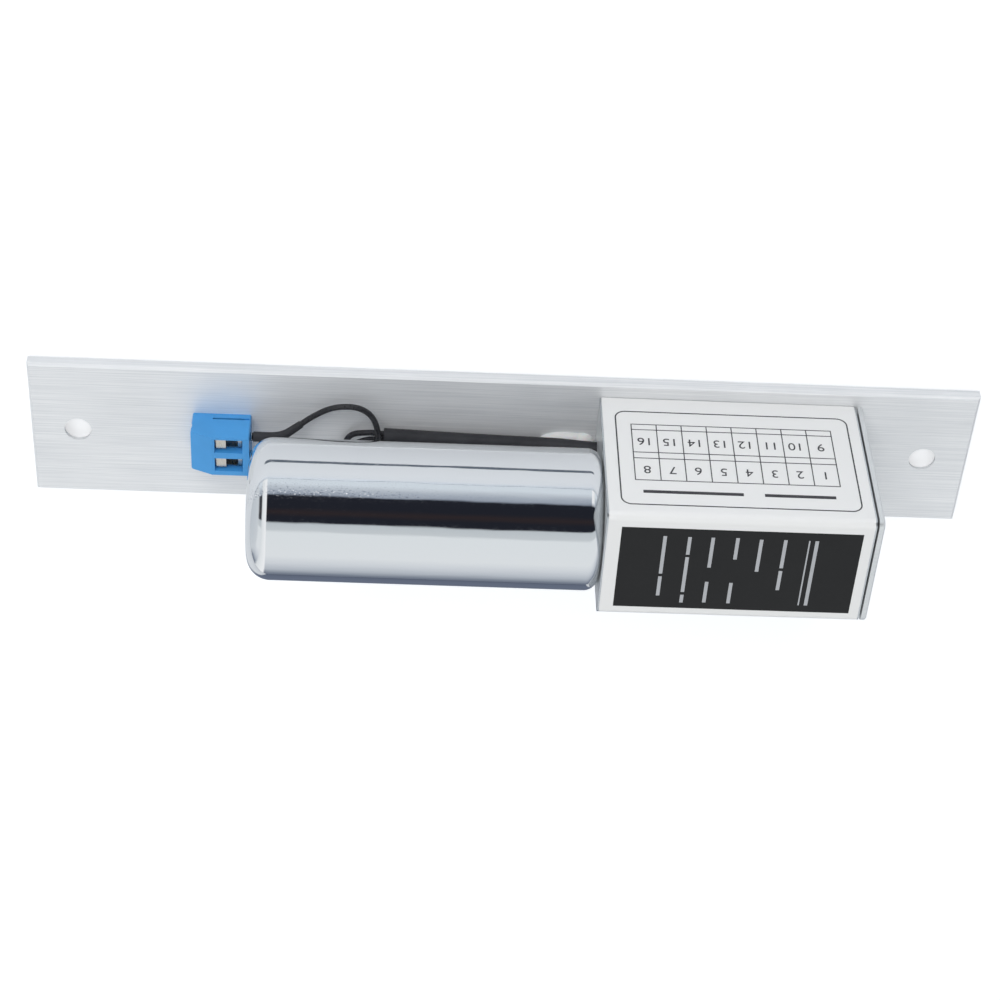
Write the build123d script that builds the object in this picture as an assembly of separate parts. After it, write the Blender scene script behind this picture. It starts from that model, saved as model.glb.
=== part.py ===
from build123d import *
import math
import os

# Electric bolt lock, lying on the front of its faceplate.
# X runs along the faceplate, Z points away from the door edge, and the origin is the
# middle of the faceplate's front. The bolt leaves through the front, towards -Z.

os.makedirs("parts", exist_ok=True)

# Clearances
RUN = 0.05          # radial, between a moving pin or shaft and its bore
PRESS = 0.02        # radial, between a pressed or screwed piece and its hole
FREE = 0.3          # between pieces that must not rub

# Faceplate
PLATE_LENGTH = 205.0
PLATE_WIDTH = 35.0
PLATE_THICK = 3.0
PLATE_EDGE_REAR = 0.6
PLATE_EDGE_FRONT = 0.3
MOUNT_SPACING = 185.0
MOUNT_HOLE = 5.8
MOUNT_SINK = 10.2

# Folded box that holds the mechanism
BOX_FRONT_X = -20.0     # end that carries the solenoid
BOX_OVER_AXIS = 14.3    # from the solenoid's middle line up to the box's top
FRAME_THICK = 1.2
FAR_WALL_EDGE = 0.3
COVER_THICK = 0.8
COVER_BEND = 1.6
END_GAP = 0.45          # dark slot between the cover and the far end wall
LABEL_THICK = 0.15

# Bolt and its guide
BOLT_DIA = 16.0
BOLT_THROW = 14.0
BOLT_RECESS = 0.3       # front of the drawn-back bolt, behind the faceplate's front
BOLT_TIP_EDGE = 1.0
BOLT_HEAD = 4.0         # metal above the cross pin
BOLT_SLOT = 8.6
GUIDE_WALL = 1.5
GUIDE_FLANGE = 1.0      # past the guide's wall
GUIDE_TOP_Z = 9.0

# Bell crank
CRANK_REACH = 16.0          # from the pivot along to the bolt's middle line
CRANK_TOP_RADIUS = 10.0     # from the pivot up to the push rod's line
CRANK_GAP = 1.075           # between the pole's boss and the crank's arm
CRANK_HUB_DIA = 8.0
PIVOT_DIA = 4.0
CHEEK_THICK = 1.5
CHEEK_GAP = 5.0         # between the two cheeks
CROSS_PIN_DIA = 3.0
PIN_SLOT_PLAY = 0.25    # each side of a cross pin, for the arc that the arm swings on
ARM_RIM = 2.0
GUSSET_ALONG = 8.4
GUSSET_UP = 6.4
EAR_LENGTH = 10.0
EAR_CLEAR = 1.4         # between the guide's flange and an ear

# Solenoid
CAN_OVER_PLATE = 8.95
CAN_DIA = 30.1
CAN_LENGTH = 74.0
CAN_WALL = 1.2
CAN_ROUND = 5.0
CAN_MOUTH_ROUND = 3.0
CAN_LIP = 1.6           # rolled in over the pole's disc
POLE_THICK = 6.0
BOSS_DIA = 12.0
NUT_ACROSS = 17.0
NUT_THICK = 4.0
BOSS_SHOW = 0.6         # thread that shows past the nut
BOBBIN_WALL = 0.9
BOBBIN_FLANGE = 1.2
PLUNGER_DIA = 13.0
POLE_REACH = 16.0       # how far the pole's nose stands into the bobbin
WASHER_THICK = 3.0
WASHER_TO_BACK = 21.0   # from the washer to the can's closed end
BUMPER_THICK = 2.5
ROD_DIA = 7.0
ROD_FLAT = 4.4
ROD_SEAT = 8.0          # rod pressed into the plunger
TONGUE_BACK = 5.6       # flats run this far behind the cross pin

# Return spring and its anchor
SPRING_DIA = 4.4
SPRING_WIRE = 0.8
SPRING_TURNS = 7
ANCHOR_DIA = 2.5
ANCHOR_DROP = 3.9       # below the box's top

# Terminal block
POLE_PITCH = 5.08
TERM_GAP = 0.9          # from the can's closed end to the end that the pins leave
TERM_LENGTH = 12.6
TERM_Y = -0.7
TERM_HEIGHT = 8.5
TERM_SLOPE_X = 4.6
TERM_SLOPE_Z = 1.9
TERM_EDGE = 0.25        # moulded edge
TERM_POLE_SHIFT = -0.35     # poles stand nearer to the plain side
WINDOW_LENGTH = 6.0
CAGE_TRAVEL = 2.0
CAGE_WALL = 0.8
TERM_SCREW_DIA = 3.0
TERM_HEAD_DIA = 3.8

# Leads
LEAD_DIA = 1.3
SLEEVE_DIA = 3.9
SLEEVE_WALL = 0.3
SHRINK_WALL = 0.45
SHRINK_OVER_PIN = 2.9
LEAD_PORT_DIA = 5.0
LEAD_PORT_Y = -2.3
LEAD_PORT_Z = 7.4
COIL_PORT_DIA = 4.6
COIL_PORT_IN = 4.25     # inward from the can's bore
COIL_PORT_DROP = 5.5    # below the solenoid's middle line

# Control board
BOARD_THICK = 1.6
BOARD_BOTTOM_Z = 6.0
BOARD_SIDE_GAP = 3.1    # between the board and the cover's sides
BOARD_CLEAR = 3.9       # between the guide's flange and the board
BOARD_SCREW_DIA = 2.5
SPACER_LENGTH = 9.0

# Cover's tab and its screws
COVER_TAB_DROP = 8.0
COVER_SCREW_DROP = 5.1

# Worked out from the sizes above
axis_z = PLATE_THICK + CAN_OVER_PLATE + CAN_DIA / 2
box_top = axis_z + BOX_OVER_AXIS
base_top = PLATE_THICK + FRAME_THICK
guide_out = BOLT_DIA + 2 * GUIDE_WALL
flange_out = guide_out + 2 * GUIDE_FLANGE
ear_in = flange_out / 2 + EAR_CLEAR
ear_out = ear_in + FRAME_THICK
inner_half = ear_out
half_box = inner_half + FREE / 3 + COVER_THICK
pin_slot = CROSS_PIN_DIA + 2 * PIN_SLOT_PLAY
arm_width = pin_slot + 2 * ARM_RIM
cheek_out = CHEEK_GAP / 2 + CHEEK_THICK
boss_end = BOX_FRONT_X - FRAME_THICK - NUT_THICK - BOSS_SHOW
stroke = BOLT_THROW * CRANK_TOP_RADIUS / CRANK_REACH
rod_pin_x = boss_end - arm_width / 2 - CRANK_GAP
crank_x = rod_pin_x - stroke / 2
crank_z = axis_z - CRANK_TOP_RADIUS
crank_tilt = math.degrees(math.atan(BOLT_THROW / 2 / CRANK_REACH))
bolt_x = crank_x - CRANK_REACH
bolt_pin_z = crank_z + BOLT_THROW / 2
board_x = bolt_x - flange_out / 2 - BOARD_CLEAR
board_back = board_x - BOARD_THICK
box_far_x = board_back - SPACER_LENGTH
board_half = inner_half - BOARD_SIDE_GAP
board_top = box_top - COVER_TAB_DROP - FREE
anchor_z = box_top - ANCHOR_DROP
cover_screw_z = box_top - COVER_SCREW_DROP
can_front = BOX_FRONT_X
can_back = can_front + CAN_LENGTH
can_bore = CAN_DIA / 2 - CAN_WALL
coil_port_y = can_bore - COIL_PORT_IN
coil_port_z = axis_z - COIL_PORT_DROP
term_rear_x = can_back + TERM_GAP


def save(shape, name):
    shape.label = name
    export_step(shape, "parts/" + name + ".step")


def rod_x(diameter, x0, x1, y, z):
    """Round bar along X."""
    length = abs(x1 - x0)
    return Pos((x0 + x1) / 2, y, z) * Rot(0, 90, 0) * Cylinder(diameter / 2, length)


def rod_y(diameter, x, y0, y1, z):
    """Round bar along Y."""
    return Pos(x, (y0 + y1) / 2, z) * Rot(90, 0, 0) * Cylinder(diameter / 2, abs(y1 - y0))


def rod_z(diameter, x, y, z0, z1):
    """Round bar along Z."""
    return Pos(x, y, (z0 + z1) / 2) * Cylinder(diameter / 2, abs(z1 - z0))


def block(x0, x1, y0, y1, z0, z1):
    """Box between two corners."""
    size = (abs(x1 - x0), abs(y1 - y0), abs(z1 - z0))
    return Pos((x0 + x1) / 2, (y0 + y1) / 2, (z0 + z1) / 2) * Box(*size)


def turned_x(points, z):
    """Piece turned about a line along X, from its (x, radius) outline."""
    outline = make_face(Polyline([(x, 0, r) for x, r in points], close=True))
    return Pos(0, 0, z) * revolve(outline, Axis.X)


def turned_z(points, x, y):
    """Piece turned about a line along Z, from its (radius, z) outline."""
    outline = make_face(Polyline([(r, 0, z) for r, z in points], close=True))
    return Pos(x, y, 0) * revolve(outline, Axis.Z)


# Faceplate: drawn aluminium strip, sunk screw holes at both ends
def make_faceplate():
    plate = block(-PLATE_LENGTH / 2, PLATE_LENGTH / 2, -PLATE_WIDTH / 2, PLATE_WIDTH / 2,
                  0, PLATE_THICK)
    plate = chamfer(plate.faces().sort_by(Axis.Z)[-1].edges(), PLATE_EDGE_REAR)
    plate = chamfer(plate.faces().sort_by(Axis.Z)[0].edges(), PLATE_EDGE_FRONT)
    for side in (-1, 1):
        x = side * MOUNT_SPACING / 2
        plate -= sunk_hole(x, 0, MOUNT_HOLE, MOUNT_SINK)
    for x, y in frame_screw_places():
        plate -= sunk_hole(x, y, FRAME_SCREW_DIA + 2 * RUN, FRAME_SCREW_HEAD + 2 * RUN)
    plate -= rod_z(guide_out, bolt_x, 0, -1, PLATE_THICK + 1)
    return plate


def sunk_hole(x, y, hole, sink):
    """Through hole with a 90 degree sink at the faceplate's front."""
    depth = (sink - hole) / 2
    points = [(0, -1), (sink / 2, -1), (sink / 2, 0), (hole / 2, depth),
              (hole / 2, PLATE_THICK + 1), (0, PLATE_THICK + 1)]
    return turned_z(points, x, y)


# Screws that hold the box's frame: countersunk, from the faceplate's front
FRAME_SCREW_DIA = 3.0
FRAME_SCREW_HEAD = 5.6
FRAME_SCREW_END = 0.8       # thread that shows past the frame's base
FRAME_SCREW_SIDE = 8.0
FRAME_SCREW_NEAR = 5.5      # from the box's ends
SCREW_DRIVE = 1.2
SCREW_DRIVE_DEPTH = 1.0


def frame_screw_places():
    xs = (BOX_FRONT_X - FRAME_SCREW_NEAR, box_far_x + FRAME_SCREW_NEAR)
    return [(x, y) for x in xs for y in (-FRAME_SCREW_SIDE, FRAME_SCREW_SIDE)]


def make_frame_screws():
    sink = (FRAME_SCREW_HEAD - FRAME_SCREW_DIA) / 2
    end = base_top + FRAME_SCREW_END
    screws = []
    for x, y in frame_screw_places():
        points = [(0, RUN), (FRAME_SCREW_HEAD / 2, RUN), (FRAME_SCREW_DIA / 2, sink + RUN),
                  (FRAME_SCREW_DIA / 2, end), (0, end)]
        screw = turned_z(points, x, y)
        for turn in (0, 90):
            slot = Box(FRAME_SCREW_HEAD * 0.6, SCREW_DRIVE / 2, SCREW_DRIVE_DEPTH)
            screw -= Pos(x, y, SCREW_DRIVE_DEPTH / 2) * Rot(0, 0, turn) * slot
        screws.append(screw)
    return Compound(children=screws)


# Frame: one folded steel piece with a base, two end walls and two pivot ears
def make_frame():
    near = BOX_FRONT_X
    wall_top = box_top - COVER_THICK - FREE / 3
    base = block(box_far_x, near, -ear_out, ear_out, PLATE_THICK, base_top)
    near_wall = block(near - FRAME_THICK, near, -inner_half, inner_half, PLATE_THICK, wall_top)
    near_wall = fillet(near_wall.edges().filter_by(Axis.X).group_by(Axis.Z)[-1],
                       COVER_BEND - COVER_THICK + FREE / 2)
    far_wall = block(box_far_x - FRAME_THICK, box_far_x, -half_box, half_box,
                     PLATE_THICK, box_top)
    far_wall = fillet(far_wall.edges().filter_by(Axis.X).group_by(Axis.Z)[-1], COVER_BEND)
    far_wall = chamfer(far_wall.faces().sort_by(Axis.X)[0].edges(), FAR_WALL_EDGE)
    frame = base + near_wall + far_wall
    for side in (-1, 1):
        ear = block(crank_x - EAR_LENGTH / 2, crank_x + EAR_LENGTH / 2,
                    side * ear_in, side * ear_out, PLATE_THICK, crank_z + EAR_LENGTH / 2)
        ear = fillet(ear.edges().filter_by(Axis.Y).group_by(Axis.Z)[-1], EAR_LENGTH / 2 - 0.1)
        hanger = block(bolt_x - EAR_LENGTH / 2, bolt_x + EAR_LENGTH / 2,
                       side * ear_in, side * ear_out, PLATE_THICK, anchor_z + 2)
        hanger = fillet(hanger.edges().filter_by(Axis.Y).group_by(Axis.Z)[-1], 2.0)
        frame += ear + hanger
    frame -= rod_y(PIVOT_DIA + 2 * PRESS, crank_x, -half_box, half_box, crank_z)
    frame -= rod_y(ANCHOR_DIA + 2 * PRESS, bolt_x, -half_box, half_box, anchor_z)
    frame -= rod_z(guide_out, bolt_x, 0, 0, base_top + 1)
    frame -= rod_x(BOSS_DIA + 2 * PRESS, near - FRAME_THICK - 1, near + 1, 0, axis_z)
    for x, y in frame_screw_places():
        frame -= rod_z(FRAME_SCREW_DIA + 2 * PRESS, x, y, 0, base_top + 1)
    frame -= rod_x(LEAD_PORT_DIA, near - FRAME_THICK - 1, near + 1, LEAD_PORT_Y, LEAD_PORT_Z)
    frame -= rod_x(COIL_PORT_DIA, near - FRAME_THICK - 1, near + 1, coil_port_y, coil_port_z)
    face = box_far_x - FRAME_THICK
    sunk = [(face - 1, 0), (face - 1, COVER_SCREW_HEAD / 2 + RUN),
            (face, COVER_SCREW_HEAD / 2 + RUN), (face + cover_sink, COVER_SCREW_DIA / 2 + RUN),
            (box_far_x + 1, COVER_SCREW_DIA / 2 + RUN), (box_far_x + 1, 0)]
    for y in (-COVER_SCREW_SIDE, COVER_SCREW_SIDE):
        frame -= Pos(0, y, 0) * turned_x(sunk, cover_screw_z)
    for y, z in board_screw_places():
        frame -= rod_x(BOARD_SCREW_DIA + 2 * PRESS, box_far_x - FRAME_THICK - 1, box_far_x + 1,
                       y, z)
    return frame


# Cover: sheet bent over the box like a saddle, with an inner tab at its far end
COVER_SCREW_SIDE = 7.0
COVER_SCREW_DIA = 2.5
COVER_SCREW_HEAD = 4.4
COVER_SCREW_LENGTH = 3.6
COVER_TAB_PAST_SCREW = 3.5
cover_sink = (COVER_SCREW_HEAD - COVER_SCREW_DIA) / 2
cover_foot_z = PLATE_THICK + FREE / 3


def cover_section(out_half, top_z, bend, foot_z):
    """Rounded-top upright rectangle in the YZ plane, as a solid along the cover."""
    body = block(box_far_x + END_GAP, BOX_FRONT_X, -out_half, out_half, foot_z, top_z)
    return fillet(body.edges().filter_by(Axis.X).group_by(Axis.Z)[-1], bend)


def make_cover():
    far = box_far_x + END_GAP
    outer = cover_section(half_box, box_top, COVER_BEND, cover_foot_z)
    hollow = block(far - 1, BOX_FRONT_X + 1, COVER_THICK - half_box, half_box - COVER_THICK,
                   0, box_top - COVER_THICK)
    top_edges = hollow.edges().filter_by(Axis.X).group_by(Axis.Z)[-1]
    cover = outer - fillet(top_edges, COVER_BEND - COVER_THICK)
    tab_half = COVER_SCREW_SIDE + COVER_TAB_PAST_SCREW
    tab = block(far, far + COVER_THICK, -tab_half, tab_half,
                box_top - COVER_TAB_DROP, box_top - COVER_THICK / 2)
    cover += tab
    for y in (-COVER_SCREW_SIDE, COVER_SCREW_SIDE):
        cover -= rod_x(COVER_SCREW_DIA + 2 * PRESS, far - 1, far + COVER_THICK + 1,
                       y, cover_screw_z)
    return cover


def make_cover_screws():
    """Countersunk screws, flush in the far end wall."""
    face = box_far_x - FRAME_THICK
    points = [(face + RUN, 0), (face + RUN, COVER_SCREW_HEAD / 2),
              (face + RUN + cover_sink, COVER_SCREW_DIA / 2),
              (face + COVER_SCREW_LENGTH, COVER_SCREW_DIA / 2), (face + COVER_SCREW_LENGTH, 0)]
    screws = []
    for y in (-COVER_SCREW_SIDE, COVER_SCREW_SIDE):
        screw = Pos(0, y, 0) * turned_x(points, cover_screw_z)
        for turn in (0, 90):
            slot = Box(cover_sink, COVER_SCREW_HEAD * 0.6, SCREW_DRIVE / 2)
            screw -= Pos(face + cover_sink / 2, y, cover_screw_z) * Rot(turn, 0, 0) * slot
        screws.append(screw)
    return Compound(children=screws)


# Label: one printed sheet stuck on the side and wrapped over the top
LABEL_SIDE_FOOT = 0.05
LABEL_TOP_END = 1.0         # bare strip along the cover's other side
LABEL_MARGIN_X = 0.35


def make_label():
    grow = LABEL_THICK
    near = BOX_FRONT_X - LABEL_MARGIN_X
    far = box_far_x + END_GAP + LABEL_MARGIN_X
    outer = block(far, near, -half_box - grow, half_box + grow, cover_foot_z, box_top + grow)
    outer = fillet(outer.edges().filter_by(Axis.X).group_by(Axis.Z)[-1], COVER_BEND + grow)
    inner = block(far - 1, near + 1, -half_box, half_box, 0, box_top)
    inner = fillet(inner.edges().filter_by(Axis.X).group_by(Axis.Z)[-1], COVER_BEND)
    sheet = outer - inner
    keep = block(far - 1, near + 1, -half_box - 1, half_box - LABEL_TOP_END,
                 cover_foot_z + LABEL_SIDE_FOOT, box_top + 1)
    return sheet & keep


# Bolt: steel bar with a clevis slot from its rear end, and its cross pin
def make_bolt():
    top = bolt_pin_z + BOLT_HEAD
    bolt = rod_z(BOLT_DIA, bolt_x, 0, BOLT_RECESS, top)
    bolt = chamfer(bolt.edges().group_by(Axis.Z)[0], BOLT_TIP_EDGE)
    bolt = chamfer(bolt.edges().group_by(Axis.Z)[-1], BOLT_TIP_EDGE)
    slot_bottom = bolt_pin_z - bolt_slot_drop()
    bolt -= block(bolt_x - BOLT_DIA, bolt_x + BOLT_DIA, -BOLT_SLOT / 2, BOLT_SLOT / 2,
                  slot_bottom, top + 1)
    bolt -= rod_y(CROSS_PIN_DIA + 2 * PRESS, bolt_x, -BOLT_DIA, BOLT_DIA, bolt_pin_z)
    return bolt


def bolt_slot_drop():
    """Depth of the clevis slot below the cross pin, for the tilted arm."""
    lean = math.radians(crank_tilt)
    return BOLT_DIA / 2 * math.tan(lean) + arm_width / 2 / math.cos(lean) + 0.6


def make_bolt_pin():
    side = math.sqrt((BOLT_DIA / 2) ** 2 - (CROSS_PIN_DIA / 2) ** 2) - 0.2
    return rod_y(CROSS_PIN_DIA, bolt_x, -side, side, bolt_pin_z)


# Guide: turned brass bush that stands in the faceplate and holds the bolt in line
def make_guide():
    guide = rod_z(guide_out - 2 * PRESS, bolt_x, 0, BOLT_RECESS, GUIDE_TOP_Z)
    guide += rod_z(flange_out, bolt_x, 0, base_top, base_top + GUIDE_WALL)
    guide -= rod_z(BOLT_DIA + 2 * RUN, bolt_x, 0, -1, GUIDE_TOP_Z + 1)
    return chamfer(guide.edges().group_by(Axis.Z)[-1], 0.4)


# Bell crank: a hub with two cheeks, one arm for the bolt and one for the push rod
def arm_outline(reach):
    """Arm along +X from the hub, with a closed slot for a cross pin."""
    far_pin = reach / math.cos(math.radians(crank_tilt))
    start = reach - pin_slot / 2 - 0.3
    end = far_pin + pin_slot / 2 + 0.3
    arm_end = end + ARM_RIM
    arm = Pos((arm_end - arm_width / 2) / 2, 0) * Rectangle(arm_end - arm_width / 2, arm_width)
    arm += Pos(arm_end - arm_width / 2, 0) * Circle(arm_width / 2)
    slot = Pos((start + end) / 2, 0) * SlotOverall(end - start, pin_slot)
    return arm, slot


def make_crank():
    bolt_arm, bolt_slot = arm_outline(CRANK_REACH)
    rod_arm, rod_slot = arm_outline(CRANK_TOP_RADIUS)
    gusset = make_face(Polyline([(0, 0), (-GUSSET_ALONG, 0), (0, GUSSET_UP)], close=True))
    cheek = Rot(0, 0, 180) * bolt_arm + Rot(0, 0, 90) * rod_arm + gusset
    cheek += Circle(CRANK_HUB_DIA / 2)
    cheek -= Rot(0, 0, 180) * bolt_slot
    cheek -= Rot(0, 0, 90) * rod_slot
    crank = rod_y(CRANK_HUB_DIA, 0, -ear_in + FREE, ear_in - FREE, 0)
    for y0 in (-cheek_out, cheek_out - CHEEK_THICK):
        # the sketch's XY plane is stood up so that its Y becomes Z
        crank += Pos(0, y0 + CHEEK_THICK, 0) * Rot(90, 0, 0) * extrude(cheek, CHEEK_THICK)
    crank += block(-GUSSET_ALONG, -CRANK_HUB_DIA / 3, -cheek_out, cheek_out,
                   -arm_width / 2, -arm_width / 2 + CHEEK_THICK)
    crank -= rod_y(PIVOT_DIA + 2 * RUN, 0, -half_box, half_box, 0)
    return Pos(crank_x, 0, crank_z) * Rot(0, crank_tilt, 0) * crank


def make_pivot_pin():
    return rod_y(PIVOT_DIA, crank_x, -ear_out, ear_out, crank_z)


# Solenoid: can, pole with threaded boss, bobbin, winding, washer, plunger and push rod
bobbin_start = can_front + POLE_THICK
bobbin_end = can_back - WASHER_TO_BACK - WASHER_THICK
pole_nose = can_front + POLE_THICK + POLE_REACH
plunger_front = pole_nose + stroke + 0.4
bobbin_bore = PLUNGER_DIA / 2 + 0.35
plunger_back = can_back - CAN_WALL - BUMPER_THICK


def make_can():
    outer = rod_x(CAN_DIA, can_front, can_back, 0, axis_z)
    outer = fillet(outer.edges().group_by(Axis.X)[-1], CAN_ROUND)
    outer = fillet(outer.edges().group_by(Axis.X)[0], CAN_MOUTH_ROUND)
    inner = rod_x(2 * can_bore, can_front + CAN_WALL, can_back - CAN_WALL, 0, axis_z)
    inner = fillet(inner.edges().group_by(Axis.X)[-1], CAN_ROUND - CAN_WALL)
    inner = fillet(inner.edges().group_by(Axis.X)[0], CAN_MOUTH_ROUND - CAN_WALL)
    mouth = rod_x(2 * (can_bore - CAN_LIP), can_front - 1, can_front + 5, 0, axis_z)
    return outer - inner - mouth


def make_pole():
    """Soft iron pole: disc inside the can's rolled mouth, boss in front, nose behind."""
    disc_front = can_front + CAN_WALL
    r_disc = can_bore - PRESS
    r_mouth = can_bore - CAN_LIP - PRESS
    r_nose = bobbin_bore - 0.05
    lip = CAN_MOUTH_ROUND - CAN_WALL
    points = [(boss_end, ROD_DIA / 2 + RUN), (boss_end, BOSS_DIA / 2),
              (can_front, BOSS_DIA / 2), (can_front, r_mouth),
              (disc_front, r_mouth), (disc_front, r_disc - lip), (disc_front + lip, r_disc),
              (bobbin_start, r_disc), (bobbin_start, r_nose),
              (pole_nose, r_nose), (pole_nose, ROD_DIA / 2 + RUN)]
    pole = turned_x(points, axis_z)
    pole -= rod_x(COIL_PORT_DIA, can_front - 1, bobbin_start + 1, coil_port_y, coil_port_z)
    return pole


def make_nut():
    face = BOX_FRONT_X - FRAME_THICK
    hexagon = extrude(RegularPolygon(NUT_ACROSS / 2, 6, major_radius=False), NUT_THICK)
    nut = Pos(face - NUT_THICK, 0, axis_z) * Rot(0, 90, 0) * hexagon
    return nut - rod_x(BOSS_DIA + 2 * PRESS, face - NUT_THICK - 1, face + 1, 0, axis_z)


def make_bobbin():
    tube = bobbin_bore + BOBBIN_WALL
    flange = can_bore - 0.6
    a, b = bobbin_start, bobbin_end
    points = [(a, bobbin_bore), (a, flange), (a + BOBBIN_FLANGE, flange),
              (a + BOBBIN_FLANGE, tube), (b - BOBBIN_FLANGE, tube), (b - BOBBIN_FLANGE, flange),
              (b, flange), (b, bobbin_bore)]
    bobbin = turned_x(points, axis_z)
    return bobbin - rod_x(COIL_PORT_DIA, a - 1, a + BOBBIN_FLANGE + 0.1, coil_port_y, coil_port_z)


def make_winding():
    a, b = bobbin_start + BOBBIN_FLANGE, bobbin_end - BOBBIN_FLANGE
    winding = rod_x(2 * (can_bore - 1.4), a, b, 0, axis_z)
    return winding - rod_x(2 * (bobbin_bore + BOBBIN_WALL), a - 1, b + 1, 0, axis_z)


def make_washer():
    washer = rod_x(2 * (can_bore - PRESS), bobbin_end, bobbin_end + WASHER_THICK, 0, axis_z)
    bore = rod_x(PLUNGER_DIA + 2 * RUN, bobbin_end - 1, bobbin_end + WASHER_THICK + 1, 0,
                 axis_z)
    return washer - bore


def make_bumper():
    pad = rod_x(PLUNGER_DIA, plunger_back, can_back - CAN_WALL, 0, axis_z)
    return chamfer(pad.edges().group_by(Axis.X)[0], 0.5)


def make_plunger():
    plunger = rod_x(PLUNGER_DIA, plunger_front, plunger_back, 0, axis_z)
    plunger = chamfer(plunger.edges().group_by(Axis.X)[0], 0.6)
    bore_end = plunger_front + ROD_SEAT
    return plunger - rod_x(ROD_DIA + 2 * PRESS, plunger_front - 1, bore_end, 0, axis_z)


def make_push_rod():
    tip = rod_pin_x - ROD_DIA / 2
    rod = rod_x(ROD_DIA, rod_pin_x, plunger_front + ROD_SEAT, 0, axis_z)
    rod += rod_y(ROD_DIA, rod_pin_x, -ROD_DIA / 2, ROD_DIA / 2, axis_z) & rod_x(
        ROD_DIA, tip - 1, rod_pin_x + 1, 0, axis_z)
    for side in (-1, 1):
        rod -= block(tip - 1, rod_pin_x + TONGUE_BACK, side * ROD_FLAT / 2, side * ROD_DIA,
                     axis_z - ROD_DIA, axis_z + ROD_DIA)
    return rod - rod_y(CROSS_PIN_DIA + 2 * PRESS, rod_pin_x, -ROD_DIA, ROD_DIA, axis_z)


def make_rod_pin():
    side = cheek_out + 0.8
    return rod_y(CROSS_PIN_DIA, rod_pin_x, -side, side, axis_z)


# Return spring: extension spring from the frame's anchor pin down to the bolt's pin
def make_spring():
    radius = (SPRING_DIA - SPRING_WIRE) / 2
    pitch = SPRING_WIRE * 1.15
    top_hook = (ANCHOR_DIA + SPRING_WIRE) / 2 + RUN
    low_hook = (CROSS_PIN_DIA + SPRING_WIRE) / 2 + RUN
    coil_height = pitch * SPRING_TURNS
    room = (anchor_z - top_hook) - (bolt_pin_z + low_hook)
    coil_base = bolt_pin_z + low_hook + (room - coil_height) / 2
    helix = Helix(pitch, coil_height, radius)
    wire = Plane(origin=helix @ 0, z_dir=helix % 0) * Circle(SPRING_WIRE / 2)
    spring = Pos(bolt_x, 0, coil_base) * sweep(wire, path=helix, is_frenet=True)
    ends = [(bolt_pin_z, low_hook, coil_base), (anchor_z, top_hook, coil_base + coil_height)]
    for pin_z, hook, coil_z in ends:
        loop = Pos(bolt_x, 0, pin_z) * Rot(90, 0, 0) * Torus(hook, SPRING_WIRE / 2)
        loop_z = pin_z + math.copysign(hook, coil_z - pin_z)
        stem = rod_z(SPRING_WIRE, bolt_x, 0, loop_z, coil_z)
        spoke = rod_x(SPRING_WIRE, bolt_x - SPRING_WIRE / 2, bolt_x + radius, 0, coil_z)
        spring += loop + stem + spoke
    return spring


def make_anchor_pin():
    return rod_y(ANCHOR_DIA, bolt_x, -ear_out, ear_out, anchor_z)


# Control board on two spacers at the far end wall, with its parts
BOARD_SCREW_SIDE = 7.0
BOARD_SCREW_DROP = 4.0      # below the board's top
BOARD_SCREW_HEAD = 4.5
BOARD_SCREW_HEAD_THICK = 1.5
SPACER_DIA = 5.0


def board_screw_places():
    z = board_top - BOARD_SCREW_DROP
    return [(-BOARD_SCREW_SIDE, z), (BOARD_SCREW_SIDE, z)]


def make_board():
    board = block(board_back, board_x, -board_half, board_half, BOARD_BOTTOM_Z, board_top)
    for y, z in board_screw_places():
        board -= rod_x(BOARD_SCREW_DIA + 2 * RUN, board_back - 1, board_x + 1, y, z)
    return board


def make_spacers():
    spacers = []
    for y, z in board_screw_places():
        spacer = rod_x(SPACER_DIA, box_far_x, board_back, y, z)
        bore = rod_x(BOARD_SCREW_DIA + 2 * RUN, box_far_x - 1, board_back + 1, y, z)
        spacers.append(spacer - bore)
    return Compound(children=spacers)


def make_board_screws():
    screws = []
    for y, z in board_screw_places():
        head = rod_x(BOARD_SCREW_HEAD, board_x, board_x + BOARD_SCREW_HEAD_THICK, y, z)
        shank = rod_x(BOARD_SCREW_DIA, box_far_x - FRAME_THICK + 0.2, board_x, y, z)
        screws.append(head + shank)
    return Compound(children=screws)


CAP_DIA = 5.0
CAP_LENGTH = 5.5
PARTS_RISE = 11.0           # middle of the capacitor, above the board's lower edge
TRANSISTOR = (2.4, 4.2, 4.5)
TRANSISTOR_SIDE = -6.1


def make_capacitor():
    can = rod_x(CAP_DIA, board_back - CAP_LENGTH, board_back, 0, BOARD_BOTTOM_Z + PARTS_RISE)
    return fillet(can.edges().group_by(Axis.X)[0], 0.5)


def make_transistor():
    body = Pos(board_back - TRANSISTOR[0] / 2, TRANSISTOR_SIDE, BOARD_BOTTOM_Z + PARTS_RISE)
    body = body * Box(*TRANSISTOR)
    return chamfer(body.edges().group_by(Axis.X)[0], 0.4)


REED_DIA = 2.2
REED_LENGTH = 12.0
REED_WIRE = 0.7


def make_reed():
    """Glass reed tube lying low along the board, with its two bent wires."""
    x = board_back - REED_DIA / 2 - 0.4
    z = BOARD_BOTTOM_Z + 2.2
    glass = rod_y(REED_DIA, x, -REED_LENGTH / 2, REED_LENGTH / 2, z)
    glass = fillet(glass.edges(), (REED_DIA - REED_WIRE) / 2 - 0.1)
    for side in (-1, 1):
        y_end = side * (REED_LENGTH / 2 + 1.4)
        wire_end = y_end + side * REED_WIRE / 3
        glass += rod_y(REED_WIRE, x, side * (REED_LENGTH / 2 - 0.5), wire_end, z)
        glass += rod_x(REED_WIRE, x - REED_WIRE / 3, board_back, y_end, z)
    return glass


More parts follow.
